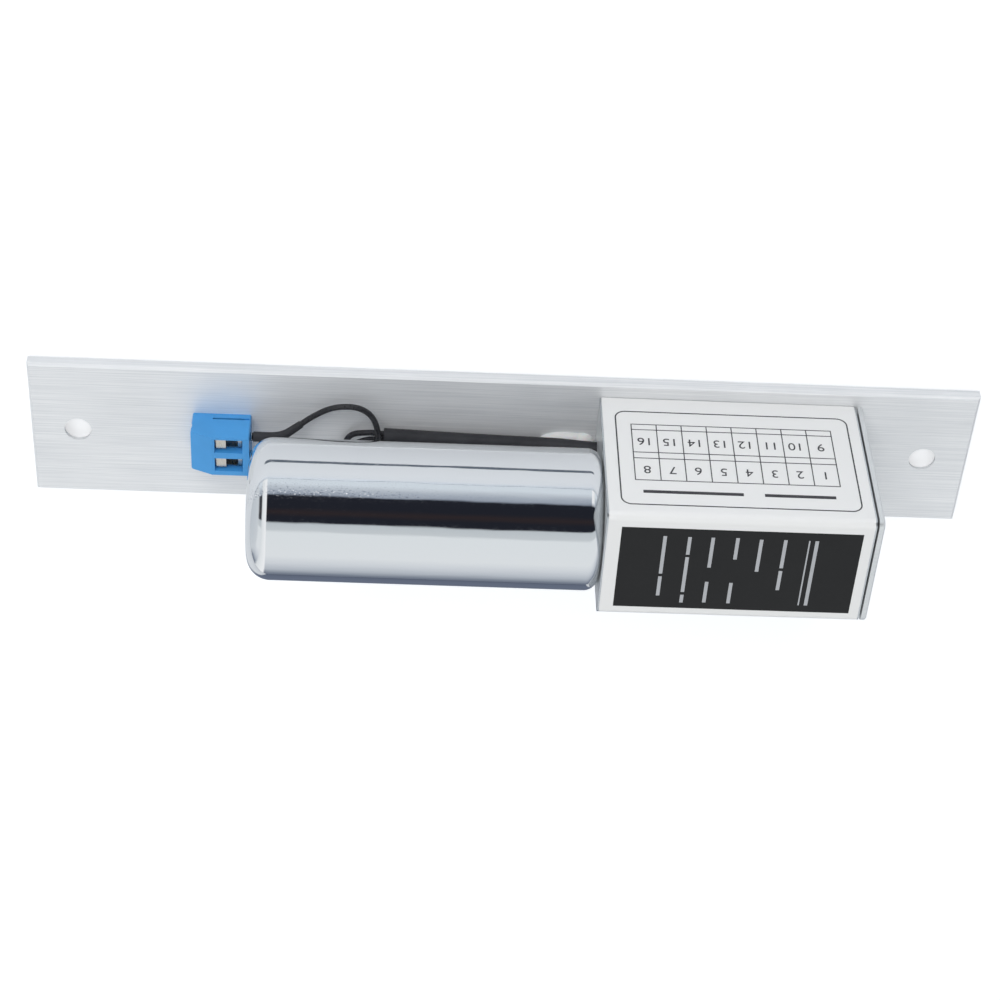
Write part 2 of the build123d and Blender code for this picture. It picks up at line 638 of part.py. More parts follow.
# Terminal block: moulded housing, two contacts, two screws and two rising cages
term_front_x = term_rear_x + TERM_LENGTH
term_top = PLATE_THICK + TERM_HEIGHT
GROOVE_LENGTH = 8.2
GROOVE_DEPTH = 0.35
GROOVE_WIDTH = 0.5
GROOVE_RISE = 1.4
WINDOW_HALF = 1.75
LEG_HALF = 0.5
LEG_OUT = 3.6           # solder pin past the housing
LEG_RISE = 1.1
PIN_RISE = 4.7
REAR_WALL = 1.4
HEAD_WELL = 1.5         # depth of a screw's well in the slanted end
NECK_WALL = 0.5
JAW_BACK = 3.6          # from the pocket's rear end to the contact's jaw
JAW_HALF = 1.2
JAW_DROP = 0.9          # below the housing's top
CAGE_RISE = 2.1
CAGE_DROP = 2.0
CONTACT_THICK = 0.8
leg_z0 = PLATE_THICK + LEG_RISE
pin_z = PLATE_THICK + PIN_RISE
pin_end_x = term_rear_x - LEG_OUT
pole_places = [TERM_Y + TERM_POLE_SHIFT + side * POLE_PITCH / 2 for side in (-1, 1)]
pocket_half = WINDOW_HALF + 0.1
pocket_x0 = term_rear_x + REAR_WALL
head_seat_x = term_front_x - HEAD_WELL
pocket_x1 = head_seat_x - NECK_WALL
cage_z0 = PLATE_THICK + CAGE_RISE
cage_z1 = term_top - CAGE_DROP
cage_mid_z = (cage_z0 + cage_z1) / 2
contact_x = pocket_x0 + JAW_BACK
jaw_top = term_top - JAW_DROP


def make_terminal_housing():
    half = POLE_PITCH
    side = make_face(Polyline([
        (term_rear_x, PLATE_THICK), (term_front_x, PLATE_THICK),
        (term_front_x, term_top - TERM_SLOPE_Z), (term_front_x - TERM_SLOPE_X, term_top),
        (term_rear_x, term_top)], close=True))
    # the sketch's XY plane is stood up so that its Y becomes Z
    body = Pos(0, TERM_Y + half, 0) * Rot(90, 0, 0) * extrude(side, 2 * half)
    body = chamfer(body.edges().filter_by(Axis.Z), TERM_EDGE)
    face = TERM_Y - half
    body -= block(term_rear_x + FREE, term_rear_x + GROOVE_LENGTH, face - 1,
                  face + GROOVE_DEPTH, PLATE_THICK + GROOVE_RISE,
                  PLATE_THICK + GROOVE_RISE + GROOVE_WIDTH)
    for y in pole_places:
        pocket = block(pocket_x0, pocket_x1, y - pocket_half, y + pocket_half,
                       PLATE_THICK + 1.0, cage_z1 + FREE)
        window = block(pocket_x0, pocket_x0 + WINDOW_LENGTH, y - WINDOW_HALF, y + WINDOW_HALF,
                       PLATE_THICK + 1.2, term_top + 1)
        neck = rod_x(TERM_SCREW_DIA + 0.4, pocket_x1 - 1, head_seat_x + 1, y, cage_mid_z)
        well = rod_x(TERM_HEAD_DIA + 0.4, head_seat_x, term_front_x + 1, y, cage_mid_z)
        leg = block(term_rear_x - 1, pocket_x0 + 1, y - LEG_HALF - PRESS, y + LEG_HALF + PRESS,
                    leg_z0 - PRESS, pin_z + CONTACT_THICK / 2 + PRESS)
        body = body - pocket - window - neck - well - leg
    return body


def make_contacts():
    """Bent strip in each pole: a jaw across the pocket and a leg that leaves as a pin."""
    contacts = []
    for y in pole_places:
        jaw = block(contact_x, contact_x + CONTACT_THICK, y - JAW_HALF, y + JAW_HALF,
                    leg_z0, jaw_top)
        jaw += block(contact_x, pocket_x0 + WINDOW_LENGTH - FREE, y - JAW_HALF, y + JAW_HALF,
                     jaw_top - CONTACT_THICK, jaw_top)
        foot_x = term_rear_x + 0.4
        leg = block(foot_x, contact_x + CONTACT_THICK, y - LEG_HALF, y + LEG_HALF,
                    leg_z0, leg_z0 + CONTACT_THICK)
        leg += block(foot_x, foot_x + CONTACT_THICK, y - LEG_HALF, y + LEG_HALF,
                     leg_z0, pin_z + CONTACT_THICK / 2)
        pin = block(pin_end_x, foot_x + CONTACT_THICK, y - LEG_HALF, y + LEG_HALF,
                    pin_z - CONTACT_THICK / 2, pin_z + CONTACT_THICK / 2)
        contacts.append(jaw + leg + pin)
    return Compound(children=contacts)


def make_terminal_screw(y):
    head = rod_x(TERM_HEAD_DIA, head_seat_x + RUN, head_seat_x + 1.2, y, cage_mid_z)
    shank = rod_x(TERM_SCREW_DIA, contact_x + CONTACT_THICK + 0.3, head_seat_x + 0.2, y, cage_mid_z)
    slot = block(head_seat_x + 0.5, head_seat_x + 2, y - TERM_HEAD_DIA, y + TERM_HEAD_DIA,
                 cage_mid_z - 0.35, cage_mid_z + 0.35)
    return head + shank - slot


def make_cage(y):
    """Square ring round the jaw, threaded on the screw at its front wall."""
    x0 = pocket_x0 + 0.3
    x1 = contact_x + CONTACT_THICK + CAGE_WALL + 1.0
    ring = block(x0, x1, y - pocket_half + 0.15, y + pocket_half - 0.15, cage_z0, cage_z1)
    ring -= block(x0 + CAGE_WALL, x1 - CAGE_WALL, y - 1.45, y + 1.45, cage_z0 - 1, cage_z1 + 1)
    # the side walls are hollowed too, for the shank that the cage rises along
    reach = CAGE_WALL + CAGE_TRAVEL + 1.0
    return ring - rod_x(TERM_SCREW_DIA + 2 * RUN, x1 - reach, x1 + 1, y, cage_mid_z)


# Leads: routes are (x, y, z) points that the bends are rounded between
def route_radii(points):
    """Each bend as large as its two runs allow."""
    radii = []
    for a, b, c in zip(points, points[1:], points[2:]):
        before, after = Vector(*b) - Vector(*a), Vector(*c) - Vector(*b)
        turn = math.radians(before.get_angle(after))
        radii.append(0.45 * min(before.length, after.length) / math.tan(turn / 2))
    return radii


def tube(points, radii, diameter, name, bore=0):
    path = FilletPolyline(*points, radius=radii)
    ring = Circle(diameter / 2)
    if bore:
        ring -= Circle(bore / 2)
    solid = sweep(Plane(origin=path @ 0, z_dir=path % 0) * ring, path=path)
    ideal = (diameter ** 2 - bore ** 2) * math.pi / 4 * path.length
    print(name, "length", round(path.length, 1), "smallest radius", round(min(radii), 1),
          "volume share", round(solid.volume / ideal, 4))
    return solid


def beside(points, offset):
    """The same route, shifted to one side across X."""
    return [(x, y + offset, z) for x, y, z in points]


def stretched(points, first_x, last_x):
    """The same route, drawn out or in along X to new ends."""
    a, b = points[0][0], points[-1][0]
    share = (last_x - first_x) / (b - a)
    return [(first_x + (x - a) * share, y, z) for x, y, z in points]


PAIR = 0.77     # from the sleeve's middle to each lead's middle
SLEEVE_INSIDE = 3.0         # past the box's near end
SLEEVE_TO_PINS = 25.1       # from the sleeve's other end to the solder pins
sleeve_line = stretched([
    (-23.0, -2.5, 7.4), (-18.0, -2.4, 6.9), (-12.5, -1.95, 5.6), (-5.0, -1.65, 5.0),
    (2.0, -1.75, 4.96), (11.0, -2.05, 5.02), (19.0, -2.3, 4.96), (26.2, -2.55, 4.97)],
    BOX_FRONT_X - SLEEVE_INSIDE, pin_end_x - SLEEVE_TO_PINS)

# in the box, the leads pass beside the guide
lead_side = -guide_out / 2 - 1.35
in_box_a = stretched([
    (-65.4, -8.6, 7.4), (-61.6, -8.6, 7.4), (-58.2, lead_side + 0.45, 7.0),
    (-52.0, lead_side, 7.05), (-44.0, lead_side + 0.05, 7.0), (-38.0, lead_side + 1.45, 7.0),
    (-32.8, -5.4, 7.1), (-27.6, -1.82, 7.86)], board_x, BOX_FRONT_X - 7.6)
in_box_b = stretched([
    (-65.4, -8.6, 9.5), (-61.6, -8.6, 9.5), (-58.2, lead_side + 0.45, 8.9),
    (-52.0, lead_side, 8.85), (-43.0, lead_side + 0.05, 8.8), (-36.0, lead_side + 0.95, 8.9),
    (-30.4, -6.6, 9.0), (-25.8, -3.33, 7.68)], board_x, BOX_FRONT_X - 5.8)
in_sleeve_a = beside(sleeve_line, PAIR)[1:]
in_sleeve_b = beside(sleeve_line, -PAIR)[1:]

# beyond the sleeve, X is counted from the pins' ends
loose_a = [(-21.9, -2.0, 5.1), (-18.1, -0.9, 6.0), (-14.9, 3.8, 6.4), (-16.9, 8.4, 6.2),
           (-21.7, 9.0, 6.2), (-23.9, 3.9, 7.1), (-24.1, -7.2, 7.0), (-20.7, -11.0, 5.6),
           (-14.3, -10.4, 4.8), (-9.5, -7.3, 4.8), (-6.1, -5.0, 6.0),
           (-2.9, pole_places[0], pin_z), (0.0, pole_places[0], pin_z)]
loose_b = [(-22.6, -3.35, 4.5), (-16.9, -2.2, 3.95), (-16.5, 5.2, 3.95), (-12.4, 9.2, 4.2),
           (-5.6, 9.9, 4.7), (4.1, 9.85, 5.5), (4.1, 6.75, 5.6), (-1.3, 6.9, 6.1),
           (-7.5, 6.6, 6.9), (-7.5, 1.6, 7.5), (-3.3, pole_places[1], pin_z),
           (0.0, pole_places[1], pin_z)]
lead_a_line = in_box_a + in_sleeve_a + [(pin_end_x + x, y, z) for x, y, z in loose_a]
lead_b_line = in_box_b + in_sleeve_b + [(pin_end_x + x, y, z) for x, y, z in loose_b]


# Heat-shrink sleeves over the soldered ends of the supply leads
shrink_bore = LEAD_DIA + 2 * PRESS
shrink_dia = shrink_bore + 2 * SHRINK_WALL


def make_shrink(line, bends, name):
    """Tube on the last bends of a lead, and on over most of its solder pin."""
    start = (Vector(*line[-bends - 2]) + Vector(*line[-bends - 1])) * 0.5
    end = Vector(*line[-1]) + Vector(SHRINK_OVER_PIN, 0, 0)
    points = [start] + [Vector(*point) for point in line[-bends - 1:-1]] + [end]
    return tube(points, route_radii(line)[-bends:], shrink_dia, name, shrink_bore)


def make_solder():
    """Solder wetted round each pin, from the shrink sleeve to the housing."""
    start = pin_end_x + SHRINK_OVER_PIN
    middle = (start + term_rear_x) / 2
    joints = []
    for y in pole_places:
        points = [(start, 0), (start, 0.8), (middle, 1.05), (term_rear_x, 0.9), (term_rear_x, 0)]
        wetted = Pos(0, y, 0) * turned_x(points, pin_z)
        joints.append(wetted - block(start - 1, term_rear_x + 1, y - LEG_HALF, y + LEG_HALF,
                                     pin_z - CONTACT_THICK / 2, pin_z + CONTACT_THICK / 2))
    return Compound(children=joints)


# Coil leads: from the winding, through the pole and the end wall, to the board
COIL_LEAD_DIA = 1.2
winding_x = bobbin_start + BOBBIN_FLANGE
coil_side = guide_out / 2 + 0.4
coil_route = [(-12.8, coil_port_y, 0.0), (-23.5, coil_port_y + 0.1, 0.1),
              (-32.0, coil_side - 0.1, 1.7), (-42.0, coil_side, 1.9),
              (-53.0, coil_side - 0.1, 1.7), (-60.0, 8.6, -0.1), (-65.4, 8.6, -0.1)]
coil_line = [(x, y, coil_port_z + z)
             for x, y, z in stretched(coil_route, winding_x, board_x)]


def make_coil_leads():
    leads = []
    for number, rise in enumerate((-0.8, 0.8), start=1):
        line = [(x, y, z + rise) for x, y, z in coil_line]
        leads.append(tube(line, route_radii(line), COIL_LEAD_DIA, "coil lead " + str(number)))
    return Compound(children=leads)


# Glue: mound of hot-melt that holds the sleeve on the faceplate beside the box
GLUE_REACH = 12.2       # from the box along the sleeve
GLUE_LOW = (5.6, 2.1, 1.7)
GLUE_HIGH = (2.9, 3.0, 2.0)


def make_glue():
    low = Pos(BOX_FRONT_X + GLUE_REACH - GLUE_LOW[0], -2.0, PLATE_THICK)
    high = Pos(BOX_FRONT_X + FREE / 3 + GLUE_HIGH[0], -1.0, PLATE_THICK)
    mound = low * scale(Sphere(1), by=GLUE_LOW) + high * scale(Sphere(1), by=GLUE_HIGH)
    mound &= block(BOX_FRONT_X, BOX_FRONT_X + GLUE_REACH + 1, -10, 10, PLATE_THICK,
                   PLATE_THICK + 5)
    radii = route_radii(sleeve_line)
    return mound - tube(sleeve_line, radii, SLEEVE_DIA + 2 * PRESS, "glue channel")


parts = {
    "faceplate": make_faceplate,
    "frame_screws": make_frame_screws,
    "mech_frame": make_frame,
    "housing_cover": make_cover,
    "cover_screws": make_cover_screws,
    "wrap_label": make_label,
    "bolt": make_bolt,
    "bolt_cross_pin": make_bolt_pin,
    "bolt_guide": make_guide,
    "bell_crank": make_crank,
    "crank_pivot_pin": make_pivot_pin,
    "solenoid_can": make_can,
    "front_pole": make_pole,
    "solenoid_nut": make_nut,
    "coil_bobbin": make_bobbin,
    "coil_winding": make_winding,
    "rear_washer": make_washer,
    "plunger_bumper": make_bumper,
    "plunger": make_plunger,
    "push_rod": make_push_rod,
    "rod_cross_pin": make_rod_pin,
    "return_spring": make_spring,
    "spring_anchor_pin": make_anchor_pin,
    "control_board": make_board,
    "board_spacers": make_spacers,
    "board_screws": make_board_screws,
    "board_capacitor": make_capacitor,
    "board_transistor": make_transistor,
    "reed_switch": make_reed,
    "terminal_housing": make_terminal_housing,
    "terminal_contacts": make_contacts,
    "solder_joints": make_solder,
    "coil_leads": make_coil_leads,
    "hot_melt_glue": make_glue,
}

for name, make in parts.items():
    save(make(), name)

for number, y in enumerate(pole_places, start=1):
    save(make_terminal_screw(y), "terminal_screw_" + str(number))
    save(make_cage(y), "terminal_cage_" + str(number))

sleeve_radii = route_radii(sleeve_line)
save(tube(sleeve_line, sleeve_radii, SLEEVE_DIA, "lead_sleeve", SLEEVE_DIA - 2 * SLEEVE_WALL),
     "lead_sleeve")
save(make_shrink(lead_a_line, 2, "heat_shrink_a"), "heat_shrink_a")
save(make_shrink(lead_b_line, 1, "heat_shrink_b"), "heat_shrink_b")
save(tube(lead_a_line, route_radii(lead_a_line), LEAD_DIA, "supply_lead_a"), "supply_lead_a")
save(tube(lead_b_line, route_radii(lead_b_line), LEAD_DIA, "supply_lead_b"), "supply_lead_b")
print("crank range", round(2 * crank_tilt, 3), "stroke", round(stroke, 3))
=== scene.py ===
# Electric bolt lock seen from its rear, lying on the front of its faceplate.
import bmesh
import bpy
import math
from mathutils import Matrix, Vector


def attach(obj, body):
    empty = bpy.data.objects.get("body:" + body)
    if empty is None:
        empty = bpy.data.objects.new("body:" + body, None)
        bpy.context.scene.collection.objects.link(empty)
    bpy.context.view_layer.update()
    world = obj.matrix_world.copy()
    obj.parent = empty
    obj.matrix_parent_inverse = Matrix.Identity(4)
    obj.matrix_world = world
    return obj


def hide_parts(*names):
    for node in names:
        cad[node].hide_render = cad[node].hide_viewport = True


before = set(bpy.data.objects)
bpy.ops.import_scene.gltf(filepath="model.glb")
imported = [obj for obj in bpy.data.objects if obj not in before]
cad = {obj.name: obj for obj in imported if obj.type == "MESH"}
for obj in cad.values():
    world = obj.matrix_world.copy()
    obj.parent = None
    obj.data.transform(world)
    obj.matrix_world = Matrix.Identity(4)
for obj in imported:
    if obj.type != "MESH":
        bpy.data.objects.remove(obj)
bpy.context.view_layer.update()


# Camera: about half a metre from the lock, above its label side, turned half round
# because the photo shows the lock upside down.
def add_object(name, data):
    """New object in the scene, at the origin."""
    piece = bpy.data.objects.new(name, data)
    bpy.context.scene.collection.objects.link(piece)
    return piece


CAMERA_PLACE = (0.02389, -0.33284, 0.40939)
TURN_Z, LEAN_Y, TILT_X = 3.176, 0.661, 40.709  # degrees
camera_data = bpy.data.cameras.new("camera")
camera_data.sensor_width = 36.0
camera_data.lens = 86.46
camera = add_object("camera", camera_data)
camera_turn = (Matrix.Rotation(math.radians(TURN_Z), 4, "Z")
               @ Matrix.Rotation(math.radians(LEAN_Y), 4, "Y")
               @ Matrix.Rotation(math.radians(TILT_X), 4, "X")
               @ Matrix.Rotation(math.pi, 4, "Z"))
camera.matrix_world = Matrix.Translation(CAMERA_PLACE) @ camera_turn
bpy.context.scene.camera = camera
bpy.context.scene.view_settings.view_transform = "Standard"


# Studio: a white cloth tent with one dark gap above the label side, which the chrome shows
# as a black band, and two soft lamps that only light the surfaces. Its end walls are whiter
# than its sides, and only mirroring surfaces show them.
def linear(code):
    """Linear colour of an sRGB hex value."""
    channels = [int(code[i:i + 2], 16) / 255 for i in (1, 3, 5)]
    return [c / 12.92 if c <= 0.04045 else ((c + 0.055) / 1.055) ** 2.4 for c in channels] + [1.0]


def add_node(tree, kind, sockets=None, stops=None, **settings):
    """Adds a node; a socket takes a value or the output that feeds it, stops fill a ramp."""
    node = tree.nodes.new(kind)
    for name, value in settings.items():
        setattr(node, name, value)
    for name, value in (sockets or {}).items():
        if isinstance(value, bpy.types.NodeSocket):
            tree.links.new(value, node.inputs[name])
        else:
            node.inputs[name].default_value = value
    if stops:
        ramp = node.color_ramp
        while len(ramp.elements) > 1:
            ramp.elements.remove(ramp.elements[-1])
        first, *others = stops
        ramp.elements[0].position, ramp.elements[0].color = first[0], linear(first[1])
        for stop, code in others:
            ramp.elements.new(stop).color = linear(code)
    return node


TENT_START = -90


def tent_place(angle):
    """Place on the tent's ramp of an angle up from the label side's horizon, in degrees."""
    return (angle - TENT_START) / 360


# up from the label side's horizon, over the top and down the other side
tent_bands = [(-90, "#DAE2E9"), (7, "#DAE2E9"), (13, "#C4CBD3"), (19, "#ACB4BF"),
              (24, "#A0A8B4"), (26, "#8A92A0"), (27.5, "#22242C"),
              (46, "#22242C"), (54, "#30292B"), (61, "#22242C"), (69, "#22242C"),
              (71.5, "#C5CBCF"), (83, "#CDD2D5"), (87, "#E6EAEC"), (130, "#E8EBED"),
              (146, "#D8DCE1"), (163, "#BAC0C8"), (176, "#7C8492"), (186, "#626A7A"),
              (215, "#DAE2E9")]
world = bpy.data.worlds.new("studio_tent")
world.use_nodes = True
sky = world.node_tree
sky.nodes.clear()
# the view direction's angle about X picks the band
direction = add_node(sky, "ShaderNodeTexCoord").outputs["Generated"]
parts_of = add_node(sky, "ShaderNodeSeparateXYZ", {"Vector": direction})
toward = add_node(sky, "ShaderNodeMath", {0: parts_of.outputs["Y"], 1: -1.0},
                  operation="MULTIPLY")
around = add_node(sky, "ShaderNodeMath", {0: parts_of.outputs["Z"], 1: toward.outputs[0]},
                  operation="ARCTAN2")
turned = add_node(sky, "ShaderNodeMath",
                  {0: around.outputs[0], 1: math.radians(360 - TENT_START)}, operation="ADD")
share = add_node(sky, "ShaderNodeMath", {0: turned.outputs[0], 1: 2 * math.pi},
                 operation="MODULO")
place = add_node(sky, "ShaderNodeMath", {0: share.outputs[0], 1: 2 * math.pi},
                 operation="DIVIDE")
bands = add_node(sky, "ShaderNodeValToRGB", {"Fac": place.outputs[0]},
                 stops=[(tent_place(angle), code) for angle, code in tent_bands])
sideways = add_node(sky, "ShaderNodeMath", {0: parts_of.outputs["X"]}, operation="ABSOLUTE")
end_walls = add_node(sky, "ShaderNodeValToRGB", {"Fac": sideways.outputs[0]},
                     stops=[(0.25, "#FBFBFC"), (0.42, "#F0F2F3"), (0.65, "#DADEE1"),
                            (1.0, "#C8CED4")])
at_end = add_node(sky, "ShaderNodeValToRGB", {"Fac": sideways.outputs[0]},
                  stops=[(0.19, "#000000"), (0.25, "#FFFFFF"), (0.53, "#FFFFFF"),
                         (0.59, "#3C3C3C"), (0.72, "#3C3C3C"), (0.80, "#FFFFFF")])
paths = add_node(sky, "ShaderNodeLightPath")
# on the box's side the end wall reaches up only to the dark gap
box_side = add_node(sky, "ShaderNodeMath", {0: parts_of.outputs["X"], 1: 0.0},
                    operation="LESS_THAN")
over_low_wall = add_node(sky, "ShaderNodeMapRange", {"Value": place.outputs[0],
                                                     "From Min": tent_place(22),
                                                     "From Max": tent_place(28)})
open_part = add_node(sky, "ShaderNodeMath", {0: box_side.outputs[0],
                                             1: over_low_wall.outputs[0]},
                     operation="MULTIPLY")
walled = add_node(sky, "ShaderNodeMath", {0: paths.outputs["Is Glossy Ray"],
                                          1: open_part.outputs[0]}, operation="SUBTRACT",
                  use_clamp=True)
end_share = add_node(sky, "ShaderNodeMath", {0: at_end.outputs[0], 1: walled.outputs[0]},
                     operation="MULTIPLY")
walls = add_node(sky, "ShaderNodeMix", {0: end_share.outputs[0], 6: bands.outputs[0],
                                        7: end_walls.outputs[0]}, data_type="RGBA")
tent = add_node(sky, "ShaderNodeBackground", {"Color": walls.outputs[2], "Strength": 1.0})
white = add_node(sky, "ShaderNodeBackground", {"Color": (1, 1, 1, 1), "Strength": 1.0})
seen = add_node(sky, "ShaderNodeMixShader", {0: paths.outputs["Is Camera Ray"],
                                             1: tent.outputs[0], 2: white.outputs[0]})
add_node(sky, "ShaderNodeOutputWorld", {"Surface": seen.outputs[0]})
bpy.context.scene.world = world

for name, place_of, size, power in (("overhead_lamp", (0.35, 0.25, 1.1), 1.2, 0.8),
                                    ("label_side_lamp", (0.25, -1.1, 0.75), 1.0, 10.5)):
    lamp_data = bpy.data.lights.new(name, "AREA")
    lamp_data.size = size
    lamp_data.energy = power
    lamp = add_object(name, lamp_data)
    lamp.location = place_of
    lamp.rotation_euler = (-Vector(place_of)).to_track_quat("-Z", "Y").to_euler()
    lamp.visible_glossy = False


# Floor: a pale sheet of matt card under the lock that keeps its soft shadow. A dark line painted
# on it as a painted reflection, and its greyer far side, show only in the chrome, and so does a
# lift towards white near the lock.
def new_material(name):
    """Material with an empty node tree."""
    material = bpy.data.materials.new(name)
    material.use_nodes = True
    material.node_tree.nodes.clear()
    return material, material.node_tree


FLOOR_HALF = 2.5
FLOOR_DROP = 0.0002
SEEN_LIFT = 0.55
MIRRORED_LIFT = 0.16
PAINTED_LINE_Y = -0.060
PAINTED_LINE_HALF = 0.0042
PAINTED_LINE_FAN = 0.12  # how much longer the painted dark line shows for each metre away from the lock
PAINTED_LINE_ENDS = (0.055, 0.046)
MIRRORED_MIDDLE_X = 0.018  # the place on the sheet that the middle of the can mirrors
FAR_SIDE_Y = (0.030, 0.070)
LAMP_SIDE_Y = (-0.15, -0.8)
sheet, tree = new_material("pale_sheet")
spot = add_node(tree, "ShaderNodeTexCoord").outputs["Object"]
across = add_node(tree, "ShaderNodeSeparateXYZ", {"Vector": spot})
from_painted_line = add_node(tree, "ShaderNodeMath", {0: across.outputs["Y"], 1: PAINTED_LINE_Y, 2: PAINTED_LINE_HALF},
                     operation="COMPARE")
paths = add_node(tree, "ShaderNodeLightPath")
from_middle = add_node(tree, "ShaderNodeMath", {0: across.outputs["X"], 1: MIRRORED_MIDDLE_X},
                       operation="SUBTRACT")
off_middle = add_node(tree, "ShaderNodeMath", {0: from_middle.outputs[0]}, operation="ABSOLUTE")
# the ends of the painted dark line, a painted reflection, fan out with the can's rounded ends
how_far = add_node(tree, "ShaderNodeMath", {0: across.outputs["Y"]}, operation="ABSOLUTE")
fanned = add_node(tree, "ShaderNodeMath", {0: how_far.outputs[0], 1: -PAINTED_LINE_FAN,
                                           2: off_middle.outputs[0]},
                  operation="MULTIPLY_ADD")
before_ends = add_node(tree, "ShaderNodeMapRange", {"Value": fanned.outputs[0],
                                                    "From Min": PAINTED_LINE_ENDS[0],
                                                    "From Max": PAINTED_LINE_ENDS[1]})
in_can = add_node(tree, "ShaderNodeMath", {0: before_ends.outputs[0],
                                           1: paths.outputs["Is Glossy Ray"]},
                  operation="MULTIPLY")
in_chrome = add_node(tree, "ShaderNodeMath", {0: from_painted_line.outputs[0], 1: in_can.outputs[0]},
                     operation="MULTIPLY")
# painted reflection: the dark line's colour, given to glossy rays near the can only, so that the
# chrome mirrors a dark line
shade = add_node(tree, "ShaderNodeMix", {0: in_chrome.outputs[0], 6: linear("#D8DADD"),
                                         7: linear("#6E7680")}, data_type="RGBA")
beyond = add_node(tree, "ShaderNodeMapRange", {"Value": across.outputs["Y"],
                                               "From Min": FAR_SIDE_Y[0],
                                               "From Max": FAR_SIDE_Y[1]})
far_side = add_node(tree, "ShaderNodeMath", {0: beyond.outputs[0], 1: in_can.outputs[0]},
                    operation="MULTIPLY")
shaded = add_node(tree, "ShaderNodeMix", {0: far_side.outputs[0], 6: shade.outputs[2],
                                          7: linear("#767E90")}, data_type="RGBA")
toward_lamp = add_node(tree, "ShaderNodeMapRange", {"Value": across.outputs["Y"],
                                                    "From Min": LAMP_SIDE_Y[0],
                                                    "From Max": LAMP_SIDE_Y[1]})
lamp_side = add_node(tree, "ShaderNodeMath", {0: toward_lamp.outputs[0],
                                              1: paths.outputs["Is Glossy Ray"]},
                     operation="MULTIPLY")
evened = add_node(tree, "ShaderNodeMix", {0: lamp_side.outputs[0], 6: shaded.outputs[2],
                                          7: linear("#BFC5CC")}, data_type="RGBA")
paper = add_node(tree, "ShaderNodeBsdfDiffuse", {"Color": evened.outputs[2]})
direct = add_node(tree, "ShaderNodeMath", {0: paths.outputs["Is Camera Ray"],
                                           1: paths.outputs["Is Transmission Ray"]},
                  operation="MAXIMUM")
unshaded = add_node(tree, "ShaderNodeMath", {0: paths.outputs["Is Glossy Ray"],
                                             1: far_side.outputs[0]}, operation="SUBTRACT")
mirrored = add_node(tree, "ShaderNodeMath", {0: unshaded.outputs[0], 1: in_chrome.outputs[0]},
                    operation="SUBTRACT")
mirrored_near = add_node(tree, "ShaderNodeMath", {0: mirrored.outputs[0],
                                                  1: lamp_side.outputs[0]},
                         operation="SUBTRACT")
mirrored_lift = add_node(tree, "ShaderNodeMath", {0: mirrored_near.outputs[0],
                                                  1: MIRRORED_LIFT}, operation="MULTIPLY")
lift = add_node(tree, "ShaderNodeMath", {0: direct.outputs[0], 1: SEEN_LIFT,
                                         2: mirrored_lift.outputs[0]},
                operation="MULTIPLY_ADD")
glow = add_node(tree, "ShaderNodeEmission", {"Color": (1, 1, 1, 1), "Strength": lift.outputs[0]})
lifted = add_node(tree, "ShaderNodeAddShader", {0: paper.outputs[0], 1: glow.outputs[0]})
add_node(tree, "ShaderNodeOutputMaterial", {"Surface": lifted.outputs[0]})
mesh = bpy.data.meshes.new("floor")
corners = [(-FLOOR_HALF, -FLOOR_HALF), (FLOOR_HALF, -FLOOR_HALF), (FLOOR_HALF, FLOOR_HALF),
           (-FLOOR_HALF, FLOOR_HALF)]
mesh.from_pydata([(x, y, -FLOOR_DROP) for x, y in corners], [], [(0, 1, 2, 3)])
mesh.materials.append(sheet)
floor = add_object("floor", mesh)


# Faceplate: drawn aluminium strip, brushed along its length with a coarse belt, with sawn
# ends and chamfered edges. The belt marks give pale streaks and a dull sheen along it; the
# broad faces show a little bare metal, the edges almost none.
def give(material, *names):
    """Puts a finish on CAD nodes."""
    for name in names:
        for slot in cad[name].material_slots:
            slot.material = material


def brushed_metal(name, pale, dark, along, rough, scratch=0.00030, length=0.030, bump=0.05,
                  bare=1.0):
    """Metal with belt marks along one axis; scratch and length are one mark's size in metres."""
    material, tree = new_material(name)
    spot = add_node(tree, "ShaderNodeTexCoord").outputs["Object"]
    scale = [1 / scratch] * 3
    scale[along] = 1 / length
    lines = add_node(tree, "ShaderNodeMapping", {"Vector": spot, "Scale": scale})
    marks = add_node(tree, "ShaderNodeTexNoise", {"Vector": lines.outputs[0], "Scale": 1.0,
                                                  "Detail": 4.0, "Roughness": 0.65})
    # clouds of tone, about 17 mm across
    clouds = add_node(tree, "ShaderNodeTexNoise", {"Vector": spot, "Scale": 60.0, "Detail": 2.0})
    spread = add_node(tree, "ShaderNodeMath", {0: clouds.outputs["Fac"], 1: 0.25},
                      operation="MULTIPLY")
    both = add_node(tree, "ShaderNodeMath", {0: marks.outputs["Fac"], 1: spread.outputs[0]},
                    operation="ADD")
    tone = add_node(tree, "ShaderNodeMapRange", {"Value": both.outputs[0], "From Min": 0.35,
                                                 "From Max": 0.9})
    colour = add_node(tree, "ShaderNodeMix", {0: tone.outputs[0], 6: linear(dark),
                                              7: linear(pale)}, data_type="RGBA")
    gloss = add_node(tree, "ShaderNodeMapRange", {"Value": marks.outputs["Fac"], "From Min": 0.3,
                                                  "From Max": 0.7, "To Min": rough - 0.07,
                                                  "To Max": rough + 0.07})
    grooves = add_node(tree, "ShaderNodeBump", {"Height": marks.outputs["Fac"],
                                                "Strength": bump, "Distance": 0.0001})
    surface = add_node(tree, "ShaderNodeBsdfPrincipled",
                       {"Base Color": colour.outputs[2], "Metallic": bare,
                        "Roughness": gloss.outputs[0], "Normal": grooves.outputs[0]})
    add_node(tree, "ShaderNodeOutputMaterial", {"Surface": surface.outputs[0]})
    return material


